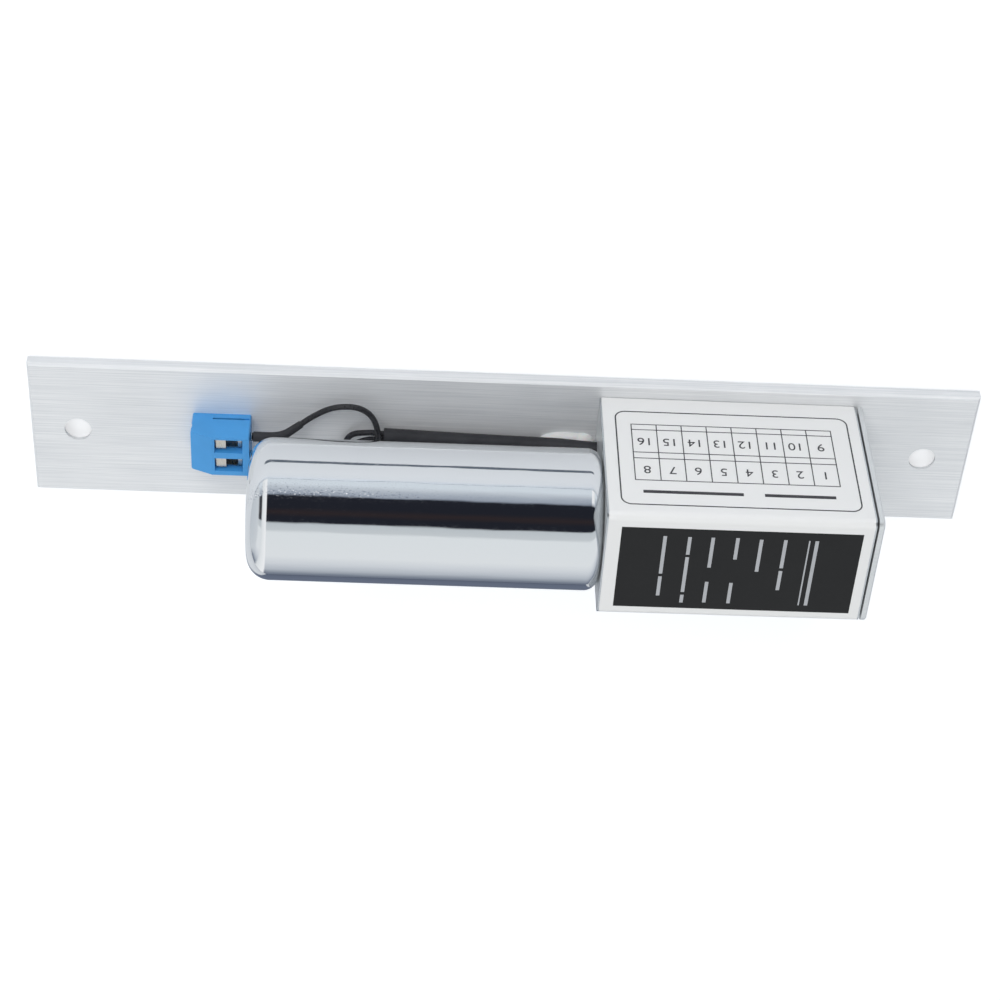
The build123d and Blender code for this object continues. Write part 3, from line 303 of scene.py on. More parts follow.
FACE_BARE = 0.28
brushed_aluminium = brushed_metal("brushed_aluminium", "#FFFFFF", "#DFE1E3", 0, 0.44, bump=0.45)
give(brushed_aluminium, "faceplate")
tree = brushed_aluminium.node_tree
metal = next(node for node in tree.nodes if node.type == "BSDF_PRINCIPLED")
facing = add_node(tree, "ShaderNodeSeparateXYZ",
                  {"Vector": add_node(tree, "ShaderNodeNewGeometry").outputs["Normal"]})
# the belt only bared the metal where the face is level
level = add_node(tree, "ShaderNodeMath", {0: facing.outputs["Z"]}, operation="ABSOLUTE")
bare = add_node(tree, "ShaderNodeMapRange", {"Value": level.outputs[0], "From Min": 0.75,
                                             "From Max": 0.98, "To Max": FACE_BARE})
tree.links.new(bare.outputs[0], metal.inputs["Metallic"])

# Frame and crank: zinc plated steel strip, punched and folded; the frame is screwed to the
# faceplate. It shows as a thin bright edge past the cover's far end and as the wall beside
# the can. The plating is a pale satin grey with faint rolling marks.
zinc_plate = brushed_metal("zinc_plated_steel", "#ECEEEE", "#D8DBDC", 2, 0.36,
                           scratch=0.0006, length=0.004, bump=0.03, bare=0.5)
give(zinc_plate, "mech_frame", "bell_crank")

# Cover: satin steel sheet, bent like a saddle over the frame and screwed to its far end wall.
# Rolling has left fine lines along it, which give a soft streaked shine.
satin_steel = brushed_metal("satin_steel_sheet", "#DADDDF", "#BFC4C9", 0, 0.34,
                            scratch=0.0004, length=0.02, bump=0.15)
give(satin_steel, "housing_cover")

# Bolt, pins, push rod and return spring: ground stainless steel. The pins are pressed in, and
# bolt and rod slide. It is bright, with fine grinding marks drawn coarse enough to show.
ground_steel = brushed_metal("ground_stainless_steel", "#D9D9DA", "#B9BABC", 2, 0.22,
                             scratch=0.0008, length=0.0004, bump=0.10)
give(ground_steel, "bolt", "bolt_cross_pin", "crank_pivot_pin", "rod_cross_pin",
     "spring_anchor_pin", "push_rod", "return_spring")

# Guide bush: turned brass with a flange, pressed into the faceplate round the bolt. It gives a
# warm yellow shine with fine rings from the turning.
turned_brass = brushed_metal("turned_brass", "#D8B667", "#B98F42", 2, 0.28,
                             scratch=0.0006, length=0.0004, bump=0.12)
give(turned_brass, "bolt_guide")

# Screws and nut: nickel plated steel, headed and rolled cold, that hold frame, cover, board,
# can and wires. The plating is bright and faintly warm.
nickel_steel = brushed_metal("nickel_plated_steel", "#D2D1CE", "#AFAEAB", 0, 0.25,
                             scratch=0.0005, length=0.0005, bump=0.10)
give(nickel_steel, "frame_screws", "cover_screws", "board_screws", "solenoid_nut",
     "terminal_screw_1", "terminal_screw_2")

# Iron circuit of the solenoid: front pole, rear washer and plunger, turned from soft iron. A
# thin plating makes it an even dull grey.
soft_iron = brushed_metal("plated_soft_iron", "#B9BABB", "#8E9092", 0, 0.36,
                          scratch=0.0005, length=0.0005, bump=0.15)
give(soft_iron, "front_pole", "rear_washer", "plunger")


# Bobbin and board spacers: injection moulded nylon. The bobbin fills the can between pole and
# washer, and the spacers hold the board off the far end wall. It is cream and slightly waxy.
def moulded_plastic(name, colour, dark, rough, grain=0.0004, bump=0.05):
    """Plastic with a fine moulded grain; grain is one bump's size in metres."""
    material, tree = new_material(name)
    spot = add_node(tree, "ShaderNodeTexCoord").outputs["Object"]
    fine = add_node(tree, "ShaderNodeTexNoise", {"Vector": spot, "Scale": 1 / grain,
                                                 "Detail": 3.0})
    # broad tone, in patches of about 6 mm
    broad = add_node(tree, "ShaderNodeTexNoise", {"Vector": spot, "Scale": 180.0, "Detail": 2.0})
    tone = add_node(tree, "ShaderNodeMapRange", {"Value": broad.outputs["Fac"],
                                                 "From Min": 0.35, "From Max": 0.65})
    shade = add_node(tree, "ShaderNodeMix", {0: tone.outputs[0], 6: linear(dark),
                                             7: linear(colour)}, data_type="RGBA")
    gloss = add_node(tree, "ShaderNodeMapRange", {"Value": fine.outputs["Fac"], "From Min": 0.3,
                                                  "From Max": 0.7, "To Min": rough - 0.05,
                                                  "To Max": rough + 0.05})
    dimples = add_node(tree, "ShaderNodeBump", {"Height": fine.outputs["Fac"], "Strength": bump,
                                                "Distance": 0.0001})
    surface = add_node(tree, "ShaderNodeBsdfPrincipled",
                       {"Base Color": shade.outputs[2], "Roughness": gloss.outputs[0],
                        "Normal": dimples.outputs[0]})
    add_node(tree, "ShaderNodeOutputMaterial", {"Surface": surface.outputs[0]})
    return material


give(moulded_plastic("moulded_nylon", "#E6E1D2", "#D8D2C0", 0.42), "coil_bobbin",
     "board_spacers")

# Winding: enamelled copper wire, wound on the bobbin in level layers. The enamel is glossy and
# orange brown, with a ridge for each turn; a turn is drawn 0.5 mm wide, coarser than the
# wire, so that it shows. Its colour is painted shade, darker in each groove between turns.
TURN_WIDTH = 0.0005
copper, tree = new_material("enamelled_copper_wire")
spot = add_node(tree, "ShaderNodeTexCoord").outputs["Object"]
turns = add_node(tree, "ShaderNodeTexWave", {"Vector": spot, "Scale": 1 / TURN_WIDTH / 3.1416,
                                             "Distortion": 0.3}, wave_type="BANDS",
                 bands_direction="X")
# painted shade: the colour darkens in each groove between turns and is lighter on each crest
shaded_turns = add_node(tree, "ShaderNodeMix", {0: turns.outputs["Fac"], 6: linear("#7A3416"),
                                        7: linear("#C86A35")}, data_type="RGBA")
ridges = add_node(tree, "ShaderNodeBump", {"Height": turns.outputs["Fac"], "Strength": 0.6,
                                           "Distance": 0.0002})
surface = add_node(tree, "ShaderNodeBsdfPrincipled",
                   {"Base Color": shaded_turns.outputs[2], "Metallic": 0.8, "Roughness": 0.3,
                    "Normal": ridges.outputs[0]})
add_node(tree, "ShaderNodeOutputMaterial", {"Surface": surface.outputs[0]})
give(copper, "coil_winding")

# Bumper: a disc of moulded black rubber behind the plunger, which quietens the end of its
# stroke. It is matt and slightly rough.
give(moulded_plastic("black_rubber", "#1C1C1C", "#141414", 0.7, grain=0.0006, bump=0.2),
     "plunger_bumper")

# Control board: glass-epoxy laminate, screwed to its spacers, with its capacitor and
# transistor soldered on. The green resist is smooth and glossy, their black epoxy duller.
give(moulded_plastic("green_resist_laminate", "#1E6B3C", "#17552F", 0.35), "control_board")
give(moulded_plastic("black_epoxy", "#232326", "#1A1A1C", 0.4), "board_capacitor",
     "board_transistor")

# Reed switch: a glass tube sealed round two wires, soldered to the board. Drawn glass is
# clear, faintly green and very smooth, with ripples about 1 mm across.
glass, tree = new_material("reed_glass")
spot = add_node(tree, "ShaderNodeTexCoord").outputs["Object"]
ripple = add_node(tree, "ShaderNodeTexNoise", {"Vector": spot, "Scale": 900.0})
dent = add_node(tree, "ShaderNodeBump", {"Height": ripple.outputs["Fac"], "Strength": 0.05,
                                         "Distance": 0.0001})
surface = add_node(tree, "ShaderNodeBsdfPrincipled",
                   {"Base Color": linear("#CFE3D8"), "Roughness": 0.05,
                    "Transmission Weight": 0.85, "Normal": dent.outputs[0]})
add_node(tree, "ShaderNodeOutputMaterial", {"Surface": surface.outputs[0]})
give(glass, "reed_switch")


# Solenoid can: deep drawn steel with a closed round end, polished and chrome plated, its mouth
# against the box. The plating mirrors the tent, wavers a little where the drawing left it
# uneven, and has flecks and pits along its upper side from handling.
CAN_FRONT = -0.020
CAN_BACK = 0.054
CAN_RADIUS = 0.01505
CAN_WALL = 0.0012
CAN_ROUND = 0.005
CAN_MOUTH = 0.003
CAN_AXIS_Z = 0.027
CAN_SIDES = 192
HANDLED_Z = (0.0315, 0.0385)
HANDLED_X = (0.010, 0.040)


def arc(centre, radius, start, end, steps):
    """Points of an arc in the (x, radius) half plane, by angle in degrees."""
    return [(centre[0] + radius * math.cos(math.radians(start + (end - start) * i / steps)),
             centre[1] + radius * math.sin(math.radians(start + (end - start) * i / steps)))
            for i in range(steps + 1)]


def as_piece(name, form, material, crease=None):
    """Piece from a finished form, its faces turned outwards; crease is in degrees."""
    bmesh.ops.recalc_face_normals(form, faces=form.faces)
    mesh = bpy.data.meshes.new(name)
    form.to_mesh(mesh)
    form.free()
    mesh.materials.append(material)
    if crease:
        mesh.shade_smooth()
        mesh.set_sharp_from_angle(angle=math.radians(crease))
    return add_object(name, mesh)


def lathe_x(name, outline, height, sides, material):
    """Closed piece turned about a line along X; an outline point at radius 0 is one pole."""
    form = bmesh.new()
    rings = []
    for x, r in outline:
        if r < 1e-7:
            rings.append([form.verts.new((x, 0, height))])
        else:
            rings.append([form.verts.new((x, r * math.cos(2 * math.pi * k / sides),
                                          height + r * math.sin(2 * math.pi * k / sides)))
                          for k in range(sides)])
    for a, b in zip(rings, rings[1:] + rings[:1]):
        if len(a) == 1 and len(b) == 1:
            continue
        for k in range(sides):
            n = (k + 1) % sides
            if len(a) == 1:
                form.faces.new((a[0], b[k], b[n]))
            elif len(b) == 1:
                form.faces.new((a[k], b[0], a[n]))
            else:
                form.faces.new((a[k], b[k], b[n], a[n]))
    return as_piece(name, form, material, crease=40)


# the waver is about 40 x 6 mm, the mottle 1 mm, and a fleck or pit 0.5 x 0.3 mm
chrome, tree = new_material("polished_chrome_plate")
spot = add_node(tree, "ShaderNodeTexCoord").outputs["Object"]
drawn = add_node(tree, "ShaderNodeMapping", {"Vector": spot, "Scale": (25.0, 160.0, 160.0)})
waver = add_node(tree, "ShaderNodeTexNoise", {"Vector": drawn.outputs[0], "Scale": 1.0,
                                              "Detail": 3.0})
mottle = add_node(tree, "ShaderNodeTexNoise", {"Vector": spot, "Scale": 900.0, "Detail": 4.0,
                                               "Roughness": 0.7})
heights = add_node(tree, "ShaderNodeMath", {0: mottle.outputs["Fac"], 1: 0.012,
                                            2: waver.outputs["Fac"]}, operation="MULTIPLY_ADD")
swell = add_node(tree, "ShaderNodeBump", {"Height": heights.outputs[0], "Strength": 0.25,
                                          "Distance": 0.0003})
haze = add_node(tree, "ShaderNodeMapRange", {"Value": mottle.outputs["Fac"], "From Min": 0.45,
                                             "From Max": 0.75, "To Min": 0.04, "To Max": 0.12})
at = add_node(tree, "ShaderNodeSeparateXYZ", {"Vector": spot})
label_half = add_node(tree, "ShaderNodeMath", {0: at.outputs["Y"], 1: 0.0},
                      operation="LESS_THAN")
up_side = add_node(tree, "ShaderNodeMapRange", {"Value": at.outputs["Z"],
                                                "From Min": HANDLED_Z[0],
                                                "From Max": HANDLED_Z[1]})
handled = add_node(tree, "ShaderNodeValToRGB", {"Fac": up_side.outputs[0]},
                   stops=[(0.15, "#000000"), (0.45, "#8A8A8A"), (0.64, "#FFFFFF"),
                          (0.72, "#6A6A6A"), (0.82, "#000000")])
near_end = add_node(tree, "ShaderNodeMapRange", {"Value": at.outputs["X"],
                                                 "From Min": HANDLED_X[0],
                                                 "From Max": HANDLED_X[1], "To Min": 0.15})
zone = add_node(tree, "ShaderNodeMath", {0: handled.outputs[0], 1: near_end.outputs[0]},
                operation="MULTIPLY")
worn = add_node(tree, "ShaderNodeMath", {0: zone.outputs[0], 1: label_half.outputs[0]},
                operation="MULTIPLY")
grain = add_node(tree, "ShaderNodeMapping", {"Vector": spot, "Scale": (2000.0, 3600.0, 3600.0)})
specks = add_node(tree, "ShaderNodeTexNoise", {"Vector": grain.outputs[0], "Scale": 1.0,
                                               "Detail": 3.0, "Roughness": 0.6})
rubbed = add_node(tree, "ShaderNodeMapRange", {"Value": specks.outputs["Fac"], "From Min": 0.58,
                                               "From Max": 0.66})
pitted = add_node(tree, "ShaderNodeMapRange", {"Value": specks.outputs["Fac"], "From Min": 0.42,
                                               "From Max": 0.34})
flecks = add_node(tree, "ShaderNodeMath", {0: rubbed.outputs[0], 1: worn.outputs[0]},
                  operation="MULTIPLY")
pits = add_node(tree, "ShaderNodeMath", {0: pitted.outputs[0], 1: worn.outputs[0]},
                operation="MULTIPLY")
plating = add_node(tree, "ShaderNodeMix", {0: pits.outputs[0], 6: linear("#EDEFF1"),
                                           7: linear("#7E8492")}, data_type="RGBA")
rubbed_white = add_node(tree, "ShaderNodeMix", {0: flecks.outputs[0], 6: plating.outputs[2],
                                                7: linear("#FFFFFF")}, data_type="RGBA")
still_metal = add_node(tree, "ShaderNodeMath", {0: flecks.outputs[0], 1: -0.7, 2: 1.0},
                       operation="MULTIPLY_ADD")
dulled = add_node(tree, "ShaderNodeMath", {0: flecks.outputs[0], 1: 0.3, 2: haze.outputs[0]},
                  operation="MULTIPLY_ADD")
surface = add_node(tree, "ShaderNodeBsdfPrincipled",
                   {"Base Color": rubbed_white.outputs[2], "Metallic": still_metal.outputs[0],
                    "Roughness": dulled.outputs[0], "Normal": swell.outputs[0]})
add_node(tree, "ShaderNodeOutputMaterial", {"Surface": surface.outputs[0]})
outline = arc((CAN_FRONT + CAN_MOUTH, CAN_RADIUS - CAN_MOUTH), CAN_MOUTH, 176, 90, 12)
outline += arc((CAN_BACK - CAN_ROUND, CAN_RADIUS - CAN_ROUND), CAN_ROUND, 90, 0, 20)
outline += [(CAN_BACK, 0.0), (CAN_BACK - CAN_WALL, 0.0)]
outline += arc((CAN_BACK - CAN_ROUND, CAN_RADIUS - CAN_ROUND), CAN_ROUND - CAN_WALL, 0, 90, 8)
outline += arc((CAN_FRONT + CAN_MOUTH, CAN_RADIUS - CAN_MOUTH), CAN_MOUTH - CAN_WALL, 90, 150, 6)
can = lathe_x("chrome_can", outline, CAN_AXIS_Z, CAN_SIDES, chrome)
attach(can, "lock_body")
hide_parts("solenoid_can")

# Terminal block: one moulding of blue polyamide on the plate, with a soft even shine from its
# fine mould grain. The contacts pressed into it and the rising cages in its windows are
# punched and bent from nickel plated strip, pale and bright.
blue_polyamide = moulded_plastic("blue_polyamide", "#4BA3E6", "#479DDF", 0.38, grain=0.0003)
give(blue_polyamide, "terminal_housing")
pale_nickel = brushed_metal("bright_nickel_contact", "#E2DDD4", "#C4BFB6", 1, 0.30,
                            scratch=0.0004, length=0.002, bump=0.10)
give(pale_nickel, "terminal_contacts", "terminal_cage_1", "terminal_cage_2")

# Solder: tin alloy melted round each contact pin and lead end. It has wetted up the pins and
# set bright, with small lumps.
solder = brushed_metal("tin_solder", "#D9DBDD", "#A9ADB1", 0, 0.25, scratch=0.0008,
                       length=0.0008, bump=0.35)
give(solder, "solder_joints")

# Supply leads: thin leads in extruded soft PVC, soldered to the pins, one with a loose loop,
# that run into a black sleeve and on through the box's end wall to the control board. The
# PVC is near black and smooth, with a soft shine along each bend.
LEAD_DIA = 0.0013
PAIR = 0.00077  # from the sleeve's middle to each lead's
POLE_A = -0.00359
POLE_B = 0.00149
PIN_Z = 0.0077
PIN_END = 0.0513
BEFORE_PIN_A = 0.0484
BEFORE_PIN_B = 0.0480


def in_metres(points):
    """Route points given in millimetres."""
    return [(x / 1000, y / 1000, z / 1000) for x, y, z in points]


# the points that each line follows, from the board towards the block
sleeve_line = in_metres([(-23.0, -2.5, 7.4), (-18.0, -2.4, 6.9), (-12.5, -1.95, 5.6),
                         (-5.0, -1.65, 5.0), (2.0, -1.75, 4.96), (11.0, -2.05, 5.02),
                         (19.0, -2.3, 4.96), (26.2, -2.55, 4.97)])
in_box_a = in_metres([(-65.4, -8.6, 7.4), (-61.6, -8.6, 7.4), (-58.2, -10.4, 7.0),
                      (-52.0, -10.85, 7.05), (-44.0, -10.8, 7.0), (-38.0, -9.4, 7.0),
                      (-32.8, -5.4, 7.1), (-27.6, -1.82, 7.86)])
in_box_b = in_metres([(-65.4, -8.6, 9.5), (-61.6, -8.6, 9.5), (-58.2, -10.4, 8.9),
                      (-52.0, -10.85, 8.85), (-43.0, -10.8, 8.8), (-36.0, -9.9, 8.9),
                      (-30.4, -6.6, 9.0), (-25.8, -3.33, 7.68)])
outside_a = in_metres([(29.4, -2.0, 5.1), (33.2, -0.9, 6.0), (36.4, 3.8, 6.4), (34.4, 8.4, 6.2),
                       (29.6, 9.0, 6.2), (27.4, 3.9, 7.1), (27.2, -7.2, 7.0),
                       (30.6, -11.0, 5.6), (37.0, -10.4, 4.8), (41.8, -7.3, 4.8),
                       (45.2, -5.0, 6.0)])
outside_b = in_metres([(28.7, -3.35, 4.5), (34.4, -2.2, 3.95), (34.8, 5.2, 3.95),
                       (38.9, 9.2, 4.2), (45.7, 9.9, 4.7), (55.4, 9.85, 5.5), (55.4, 6.75, 5.6),
                       (50.0, 6.9, 6.1), (43.8, 6.6, 6.9), (43.8, 1.6, 7.5)])
lead_a_line = (in_box_a + [(x, y + PAIR, z) for x, y, z in sleeve_line[1:]] + outside_a
               + [(BEFORE_PIN_A, POLE_A, PIN_Z), (PIN_END, POLE_A, PIN_Z)])
lead_b_line = (in_box_b + [(x, y - PAIR, z) for x, y, z in sleeve_line[1:]] + outside_b
               + [(BEFORE_PIN_B, POLE_B, PIN_Z), (PIN_END, POLE_B, PIN_Z)])


def smooth_line(name, points, thickness=0.0, material=None):
    """Curve whose control points are the route's points."""
    curve = bpy.data.curves.new(name, "CURVE")
    curve.dimensions = "3D"
    spline = curve.splines.new("NURBS")
    spline.points.add(len(points) - 1)
    for target, point in zip(spline.points, points):
        target.co = (*point, 1.0)
    spline.order_u = 3
    spline.use_endpoint_u = True
    curve.resolution_u = 12
    curve.bevel_depth = thickness / 2
    curve.bevel_resolution = 6
    curve.use_fill_caps = thickness > 0
    if material:
        curve.materials.append(material)
    return add_object(name, curve)


soft_pvc = moulded_plastic("black_soft_pvc", "#2A2A2D", "#222226", 0.30, grain=0.0005, bump=0.08)
for name, points in (("supply_lead_a", lead_a_line), ("supply_lead_b", lead_b_line)):
    lead = smooth_line("pvc_" + name, points, LEAD_DIA, soft_pvc)
    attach(lead, "lock_body")
    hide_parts(name)
give(soft_pvc, "coil_leads")


# Heat-shrink: black polyolefin tube over both leads beside the can, and over each soldered
# end, where it has drawn in round the lead. Shrunk tube is matt, with a coarse soft grain.
def line_points(points):
    """Points along the route's smooth line."""
    guide = smooth_line("guide_line", points)
    flat = bpy.data.meshes.new_from_object(guide)
    found = [v.co.copy() for v in flat.vertices]
    bpy.data.objects.remove(guide)
    bpy.data.meshes.remove(flat)
    return found


def tube_mesh(name, line, radii, inner, material, sides=24):
    """Hollow tube along a line, with an outer radius for each point and closed rims."""
    form = bmesh.new()
    tangents = []
    for i in range(len(line)):
        tangents.append((line[min(i + 1, len(line) - 1)] - line[max(i - 1, 0)]).normalized())
    across = tangents[0].orthogonal().normalized()
    outer_rings, inner_rings = [], []
    for point, tangent, radius in zip(line, tangents, radii):
        across = (across - tangent * across.dot(tangent)).normalized()
        other = tangent.cross(across)
        spokes = [across * math.cos(2 * math.pi * k / sides)
                  + other * math.sin(2 * math.pi * k / sides) for k in range(sides)]
        for rings, r in ((outer_rings, radius), (inner_rings, inner)):
            rings.append([form.verts.new(point + r * spoke) for spoke in spokes])
    loops = outer_rings + inner_rings[::-1]
    for a, b in zip(loops, loops[1:] + loops[:1]):
        for k in range(sides):
            n = (k + 1) % sides
            form.faces.new((a[k], b[k], b[n], a[n]))
    return as_piece(name, form, material, crease=50)


SLEEVE_RADIUS = 0.00195
SLEEVE_WALL = 0.0003
SHRINK_RADIUS = 0.00112
SHRINK_OVER_PIN = 0.0029
SHRINK_PLAY = 0.00002
polyolefin = moulded_plastic("black_polyolefin", "#303034", "#27272B", 0.5, grain=0.0008,
                             bump=0.15)
route = line_points(sleeve_line)
sleeve = tube_mesh("polyolefin_sleeve", route, [SLEEVE_RADIUS] * len(route),
                   SLEEVE_RADIUS - SLEEVE_WALL, polyolefin, 32)
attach(sleeve, "lock_body")
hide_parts("lead_sleeve")
for name, points, length, drawn_in in (("heat_shrink_a", lead_a_line, 0.0080, 0.00030),
                                       ("heat_shrink_b", lead_b_line, 0.0052, 0.00012)):
    route = line_points(points)
    kept, run = [route[-1]], 0.0
    for point in reversed(route[:-1]):
        run += (point - kept[-1]).length
        kept.append(point)
        if run > length:
            break
    ends = [kept[0] + Vector((SHRINK_OVER_PIN * share, 0, 0)) for share in (1.0, 0.5)]
    kept = ends + kept
    last = len(kept) - 1
    radii = [SHRINK_RADIUS - drawn_in * i / last for i in range(last + 1)]
    shrink = tube_mesh("polyolefin_" + name, kept, radii, LEAD_DIA / 2 + SHRINK_PLAY,
                       polyolefin)
    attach(shrink, "lock_body")
    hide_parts(name)

# Glue: a mound of hot-melt adhesive beside the box that holds the sleeve to the plate. It set
# from a melt, so it is milky and smooth, with soft lumps about 3 mm across.
hot_melt, tree = new_material("milky_hot_melt")
spot = add_node(tree, "ShaderNodeTexCoord").outputs["Object"]
flow = add_node(tree, "ShaderNodeTexNoise", {"Vector": spot, "Scale": 350.0, "Detail": 2.0})
milk = add_node(tree, "ShaderNodeMix", {0: flow.outputs["Fac"], 6: linear("#D6D5D4"),
                                        7: linear("#F4F2F1")}, data_type="RGBA")
lumps = add_node(tree, "ShaderNodeBump", {"Height": flow.outputs["Fac"], "Strength": 0.4,
                                          "Distance": 0.0006})
surface = add_node(tree, "ShaderNodeBsdfPrincipled",
                   {"Base Color": milk.outputs[2], "Roughness": 0.3, "Subsurface Weight": 0.15,
                    "Subsurface Scale": 0.001, "Normal": lumps.outputs[0]})
add_node(tree, "ShaderNodeOutputMaterial", {"Surface": surface.outputs[0]})
give(hot_melt, "hot_melt_glue")

# Label: one sheet of glossy white film, printed, stuck on the cover's side and wrapped over
# its top. Calendered film is even and shiny, with gentle waves, about 11 mm long, where it
# was laid.
white_film, tree = new_material("glossy_white_film")
spot = add_node(tree, "ShaderNodeTexCoord").outputs["Object"]
waves = add_node(tree, "ShaderNodeTexNoise", {"Vector": spot, "Scale": 90.0, "Detail": 1.0})
sheen = add_node(tree, "ShaderNodeMapRange", {"Value": waves.outputs["Fac"], "To Min": 0.22,
                                              "To Max": 0.28})
ripples = add_node(tree, "ShaderNodeBump", {"Height": waves.outputs["Fac"], "Strength": 0.015,
                                            "Distance": 0.0005})
surface = add_node(tree, "ShaderNodeBsdfPrincipled",
                   {"Base Color": linear("#F5F4F2"), "Roughness": sheen.outputs[0],
                    "Normal": ripples.outputs[0]})
add_node(tree, "ShaderNodeOutputMaterial", {"Surface": surface.outputs[0]})
give(white_film, "wrap_label")

# Print on the label's side: a rounded frame line, a table of plain numbers in thin rules, and
# bars in place of words, in screen ink that stands a hair above the film and dries a little
# duller than it.
INK_LIFT = 0.00003
INK_SINK = 0.00002
SIDE_Y = -0.01415
RULE = 0.00022
black_ink = moulded_plastic("black_ink", "#3A393D", "#302F34", 0.4, grain=0.0008)


def on_side(x, z, lift):
    """Place on the label's side, lifted off the film."""
    return (x, SIDE_Y - lift, z)


def ink_mesh(name, bars, put, material, base=0.0):
    """Thin raised bars; each bar is (low u, high u, low v, high v)."""
    form = bmesh.new()
    for u0, u1, v0, v1 in bars:
        corners = [(u0, v0), (u1, v0), (u1, v1), (u0, v1)]
        low = [form.verts.new(put(u, v, base - INK_SINK)) for u, v in corners]
        high = [form.verts.new(put(u, v, base + INK_LIFT)) for u, v in corners]
        form.faces.new(low)
        form.faces.new(high)
        for k in range(4):
            form.faces.new((low[k], low[(k + 1) % 4], high[(k + 1) % 4], high[k]))
    return as_piece(name, form, material)


def join_as(name, pieces):
    """One mesh piece from several."""
    with bpy.context.temp_override(active_object=pieces[0], selected_objects=pieces,
                                   selected_editable_objects=pieces):
        bpy.ops.object.join()
    pieces[0].name = name
    pieces[0].data.name = name
    return pieces[0]


def rounded_ring(name, u0, u1, v0, v1, radius, width, put, material, steps=8):
    """Raised line round a rectangle with rounded corners."""
    form = bmesh.new()
    loops = []
    for inset, lift in ((0, -INK_SINK), (0, INK_LIFT), (width, INK_LIFT), (width, -INK_SINK)):
        loop = []
        for cu, cv, start in ((u1 - radius, v1 - radius, 0), (u0 + radius, v1 - radius, 90),
                              (u0 + radius, v0 + radius, 180), (u1 - radius, v0 + radius, 270)):
            for step in range(steps + 1):
                angle = math.radians(start + 90 * step / steps)
                r = radius - inset
                loop.append(form.verts.new(put(cu + r * math.cos(angle),
                                               cv + r * math.sin(angle), lift)))
        loops.append(loop)
    for a, b in zip(loops, loops[1:] + loops[:1]):
        for k in range(len(a)):
            n = (k + 1) % len(a)
            form.faces.new((a[k], a[n], b[n], b[k]))
    return as_piece(name, form, material)


def printed_number(name, text, size, place_at, turn, material):
    """Flat number from the built-in font, centred on its place."""
    curve = bpy.data.curves.new(name, "FONT")
    curve.body = text
    curve.size = size
    curve.align_x = "CENTER"
    curve.align_y = "CENTER"
    curve.extrude = INK_LIFT
    source = add_object(name, curve)
    flat = bpy.data.meshes.new_from_object(source)
    bpy.data.objects.remove(source)
    form = bmesh.new()
    form.from_mesh(flat)
    bpy.data.meshes.remove(flat)
    bmesh.ops.remove_doubles(form, verts=form.verts, dist=1e-6)
    bmesh.ops.transform(form, matrix=Matrix.Translation(place_at) @ turn, verts=form.verts)
    return as_piece(name, form, material)


TABLE_X0 = -0.0690
TABLE_STEP = 0.00534
TABLE_COLUMNS = 8
NUMBER_SIZE = 0.0034
FRAME_X = (-0.07295, -0.0229)
FRAME_Z = (0.0075, 0.0381)
FRAME_ROUND = 0.0023
FRAME_LINE = 0.0003
table_z = [0.01192, 0.01371, 0.02118, 0.02312, 0.03020]
number_z = (0.0267, 0.0175)
table_x1 = TABLE_X0 + TABLE_COLUMNS * TABLE_STEP


def repeated_rules(name, first, step, count, size, material):
    """Upright rules set at an even step, one for each edge of a column."""
    tree = bpy.data.node_groups.new(name, "GeometryNodeTree")
    sockets = {}
    for label, kind in (("Count", "NodeSocketInt"), ("First Place", "NodeSocketVector"),
                        ("Step", "NodeSocketVector"), ("Rule Size", "NodeSocketVector")):
        sockets[label] = tree.interface.new_socket(label, in_out="INPUT", socket_type=kind)
    tree.interface.new_socket("Geometry", in_out="OUTPUT", socket_type="NodeSocketGeometry")
    given = add_node(tree, "NodeGroupInput")
    places = add_node(tree, "GeometryNodeMeshLine",
                      {"Count": given.outputs["Count"],
                       "Start Location": given.outputs["First Place"],
                       "Offset": given.outputs["Step"]}, mode="OFFSET")
    rule = add_node(tree, "GeometryNodeMeshCube", {"Size": given.outputs["Rule Size"]})
    spread = add_node(tree, "GeometryNodeInstanceOnPoints",
                      {"Points": places.outputs["Mesh"], "Instance": rule.outputs["Mesh"]})
    real = add_node(tree, "GeometryNodeRealizeInstances", {"Geometry": spread.outputs[0]})
    inked = add_node(tree, "GeometryNodeSetMaterial", {"Geometry": real.outputs[0],
                                                       "Material": material})
    add_node(tree, "NodeGroupOutput", {"Geometry": inked.outputs[0]})
    seed = add_object(name + "_seed", bpy.data.meshes.new(name + "_seed"))
    modifier = seed.modifiers.new("rules", "NODES")
    modifier.node_group = tree
    for label, value in (("Count", count), ("First Place", first), ("Step", step),
                         ("Rule Size", size)):
        modifier[sockets[label].identifier] = value
    ready = seed.evaluated_get(bpy.context.evaluated_depsgraph_get())
    mesh = bpy.data.meshes.new_from_object(ready)
    seed.modifiers.clear()
    bpy.data.objects.remove(seed)
    return add_object(name, mesh)


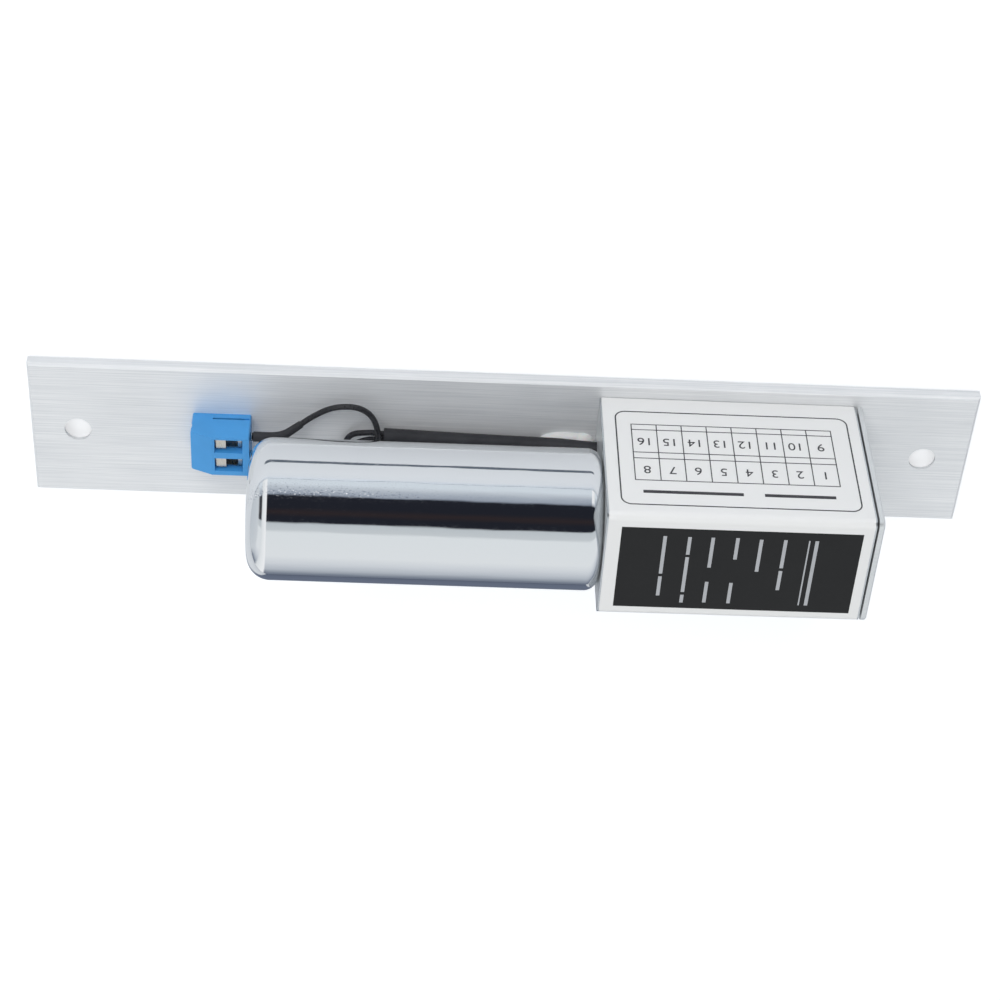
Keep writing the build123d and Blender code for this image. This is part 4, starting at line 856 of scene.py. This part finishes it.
side_turn = Matrix.Rotation(math.radians(90), 4, "X")
uprights = repeated_rules("table_uprights",
                          on_side(TABLE_X0, (table_z[0] + table_z[-1]) / 2, 0.0),
                          (TABLE_STEP, 0.0, 0.0), TABLE_COLUMNS + 1,
                          (RULE, 2 * INK_LIFT, table_z[-1] - table_z[0]), black_ink)
side_print = [uprights]
side_print.append(ink_mesh("table_rows", [(TABLE_X0 - RULE / 2, table_x1 + RULE / 2,
                                           z - RULE / 2, z + RULE / 2) for z in table_z],
                           on_side, black_ink))
side_print.append(rounded_ring("frame_line", *FRAME_X, *FRAME_Z, FRAME_ROUND, FRAME_LINE,
                               on_side, black_ink))
title_bars = [(-0.0677, -0.0529, 0.0334, 0.0343), (-0.0485, -0.0277, 0.0334, 0.0343)]
side_print.append(ink_mesh("title_bars", title_bars, on_side, black_ink))
for row, z in enumerate(number_z):
    for column in range(TABLE_COLUMNS):
        number = str(row * TABLE_COLUMNS + column + 1)
        x = TABLE_X0 + (column + 0.5) * TABLE_STEP
        side_print.append(printed_number("number_" + number, number, NUMBER_SIZE,
                                         on_side(x, z, 0.0), side_turn, black_ink))
side_ink = join_as("label_side_print", side_print)
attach(side_ink, "lock_body")


# Print on the label's top: a black panel with white bars in place of its lines of words, which
# run across the lock. Its dense ink is the deepest black on the lock, with little shine.
TOP_Z = 0.04145
BAR_WIDTH = 0.00075


def on_top(x, y, lift):
    """Place on the label's top, lifted off the film."""
    return (x, y, TOP_Z + lift)


panel_ink = moulded_plastic("black_panel_ink", "#0E0E0F", "#0B0B0C", 0.4, grain=0.0008)
panel_surface = next(node for node in panel_ink.node_tree.nodes
                     if node.type == "BSDF_PRINCIPLED")
panel_surface.inputs["Specular IOR Level"].default_value = 0.35
white_ink = moulded_plastic("white_ink", "#BCBDC0", "#B5B6B9", 0.4, grain=0.0008)
panel_area = (-0.0731, -0.0232, -0.0109, 0.0112)
panel = ink_mesh("label_top_panel", [panel_area], on_top, panel_ink)
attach(panel, "lock_body")
# each row of words as bars: its place along the lock, and where each bar starts and ends, mm
word_rows = [(-63.7, [(-8.8, 9.3)]), (-57.2, [(-8.8, -1.0), (-0.2, 5.2)]),
             (-52.2, [(-8.7, 0.2)]), (-47.3, [(-8.9, -3.0), (3.6, 9.4)]),
             (-42.2, [(-8.8, -0.5), (3.5, 9.4)]),
             (-37.4, [(-8.75, -3.9), (-3.2, 6.6), (7.4, 9.6)]),
             (-32.3, [(-8.8, 1.6), (2.4, 7.8)])]
bars = [(x / 1000 - BAR_WIDTH / 2, x / 1000 + BAR_WIDTH / 2, start / 1000, end / 1000)
        for x, words in word_rows for start, end in words]
underline = (-0.0623, -0.0620, -0.0088, 0.0093)
bars.append(underline)
top_ink = ink_mesh("label_top_bars", bars, on_top, white_ink, base=INK_LIFT)
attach(top_ink, "lock_body")
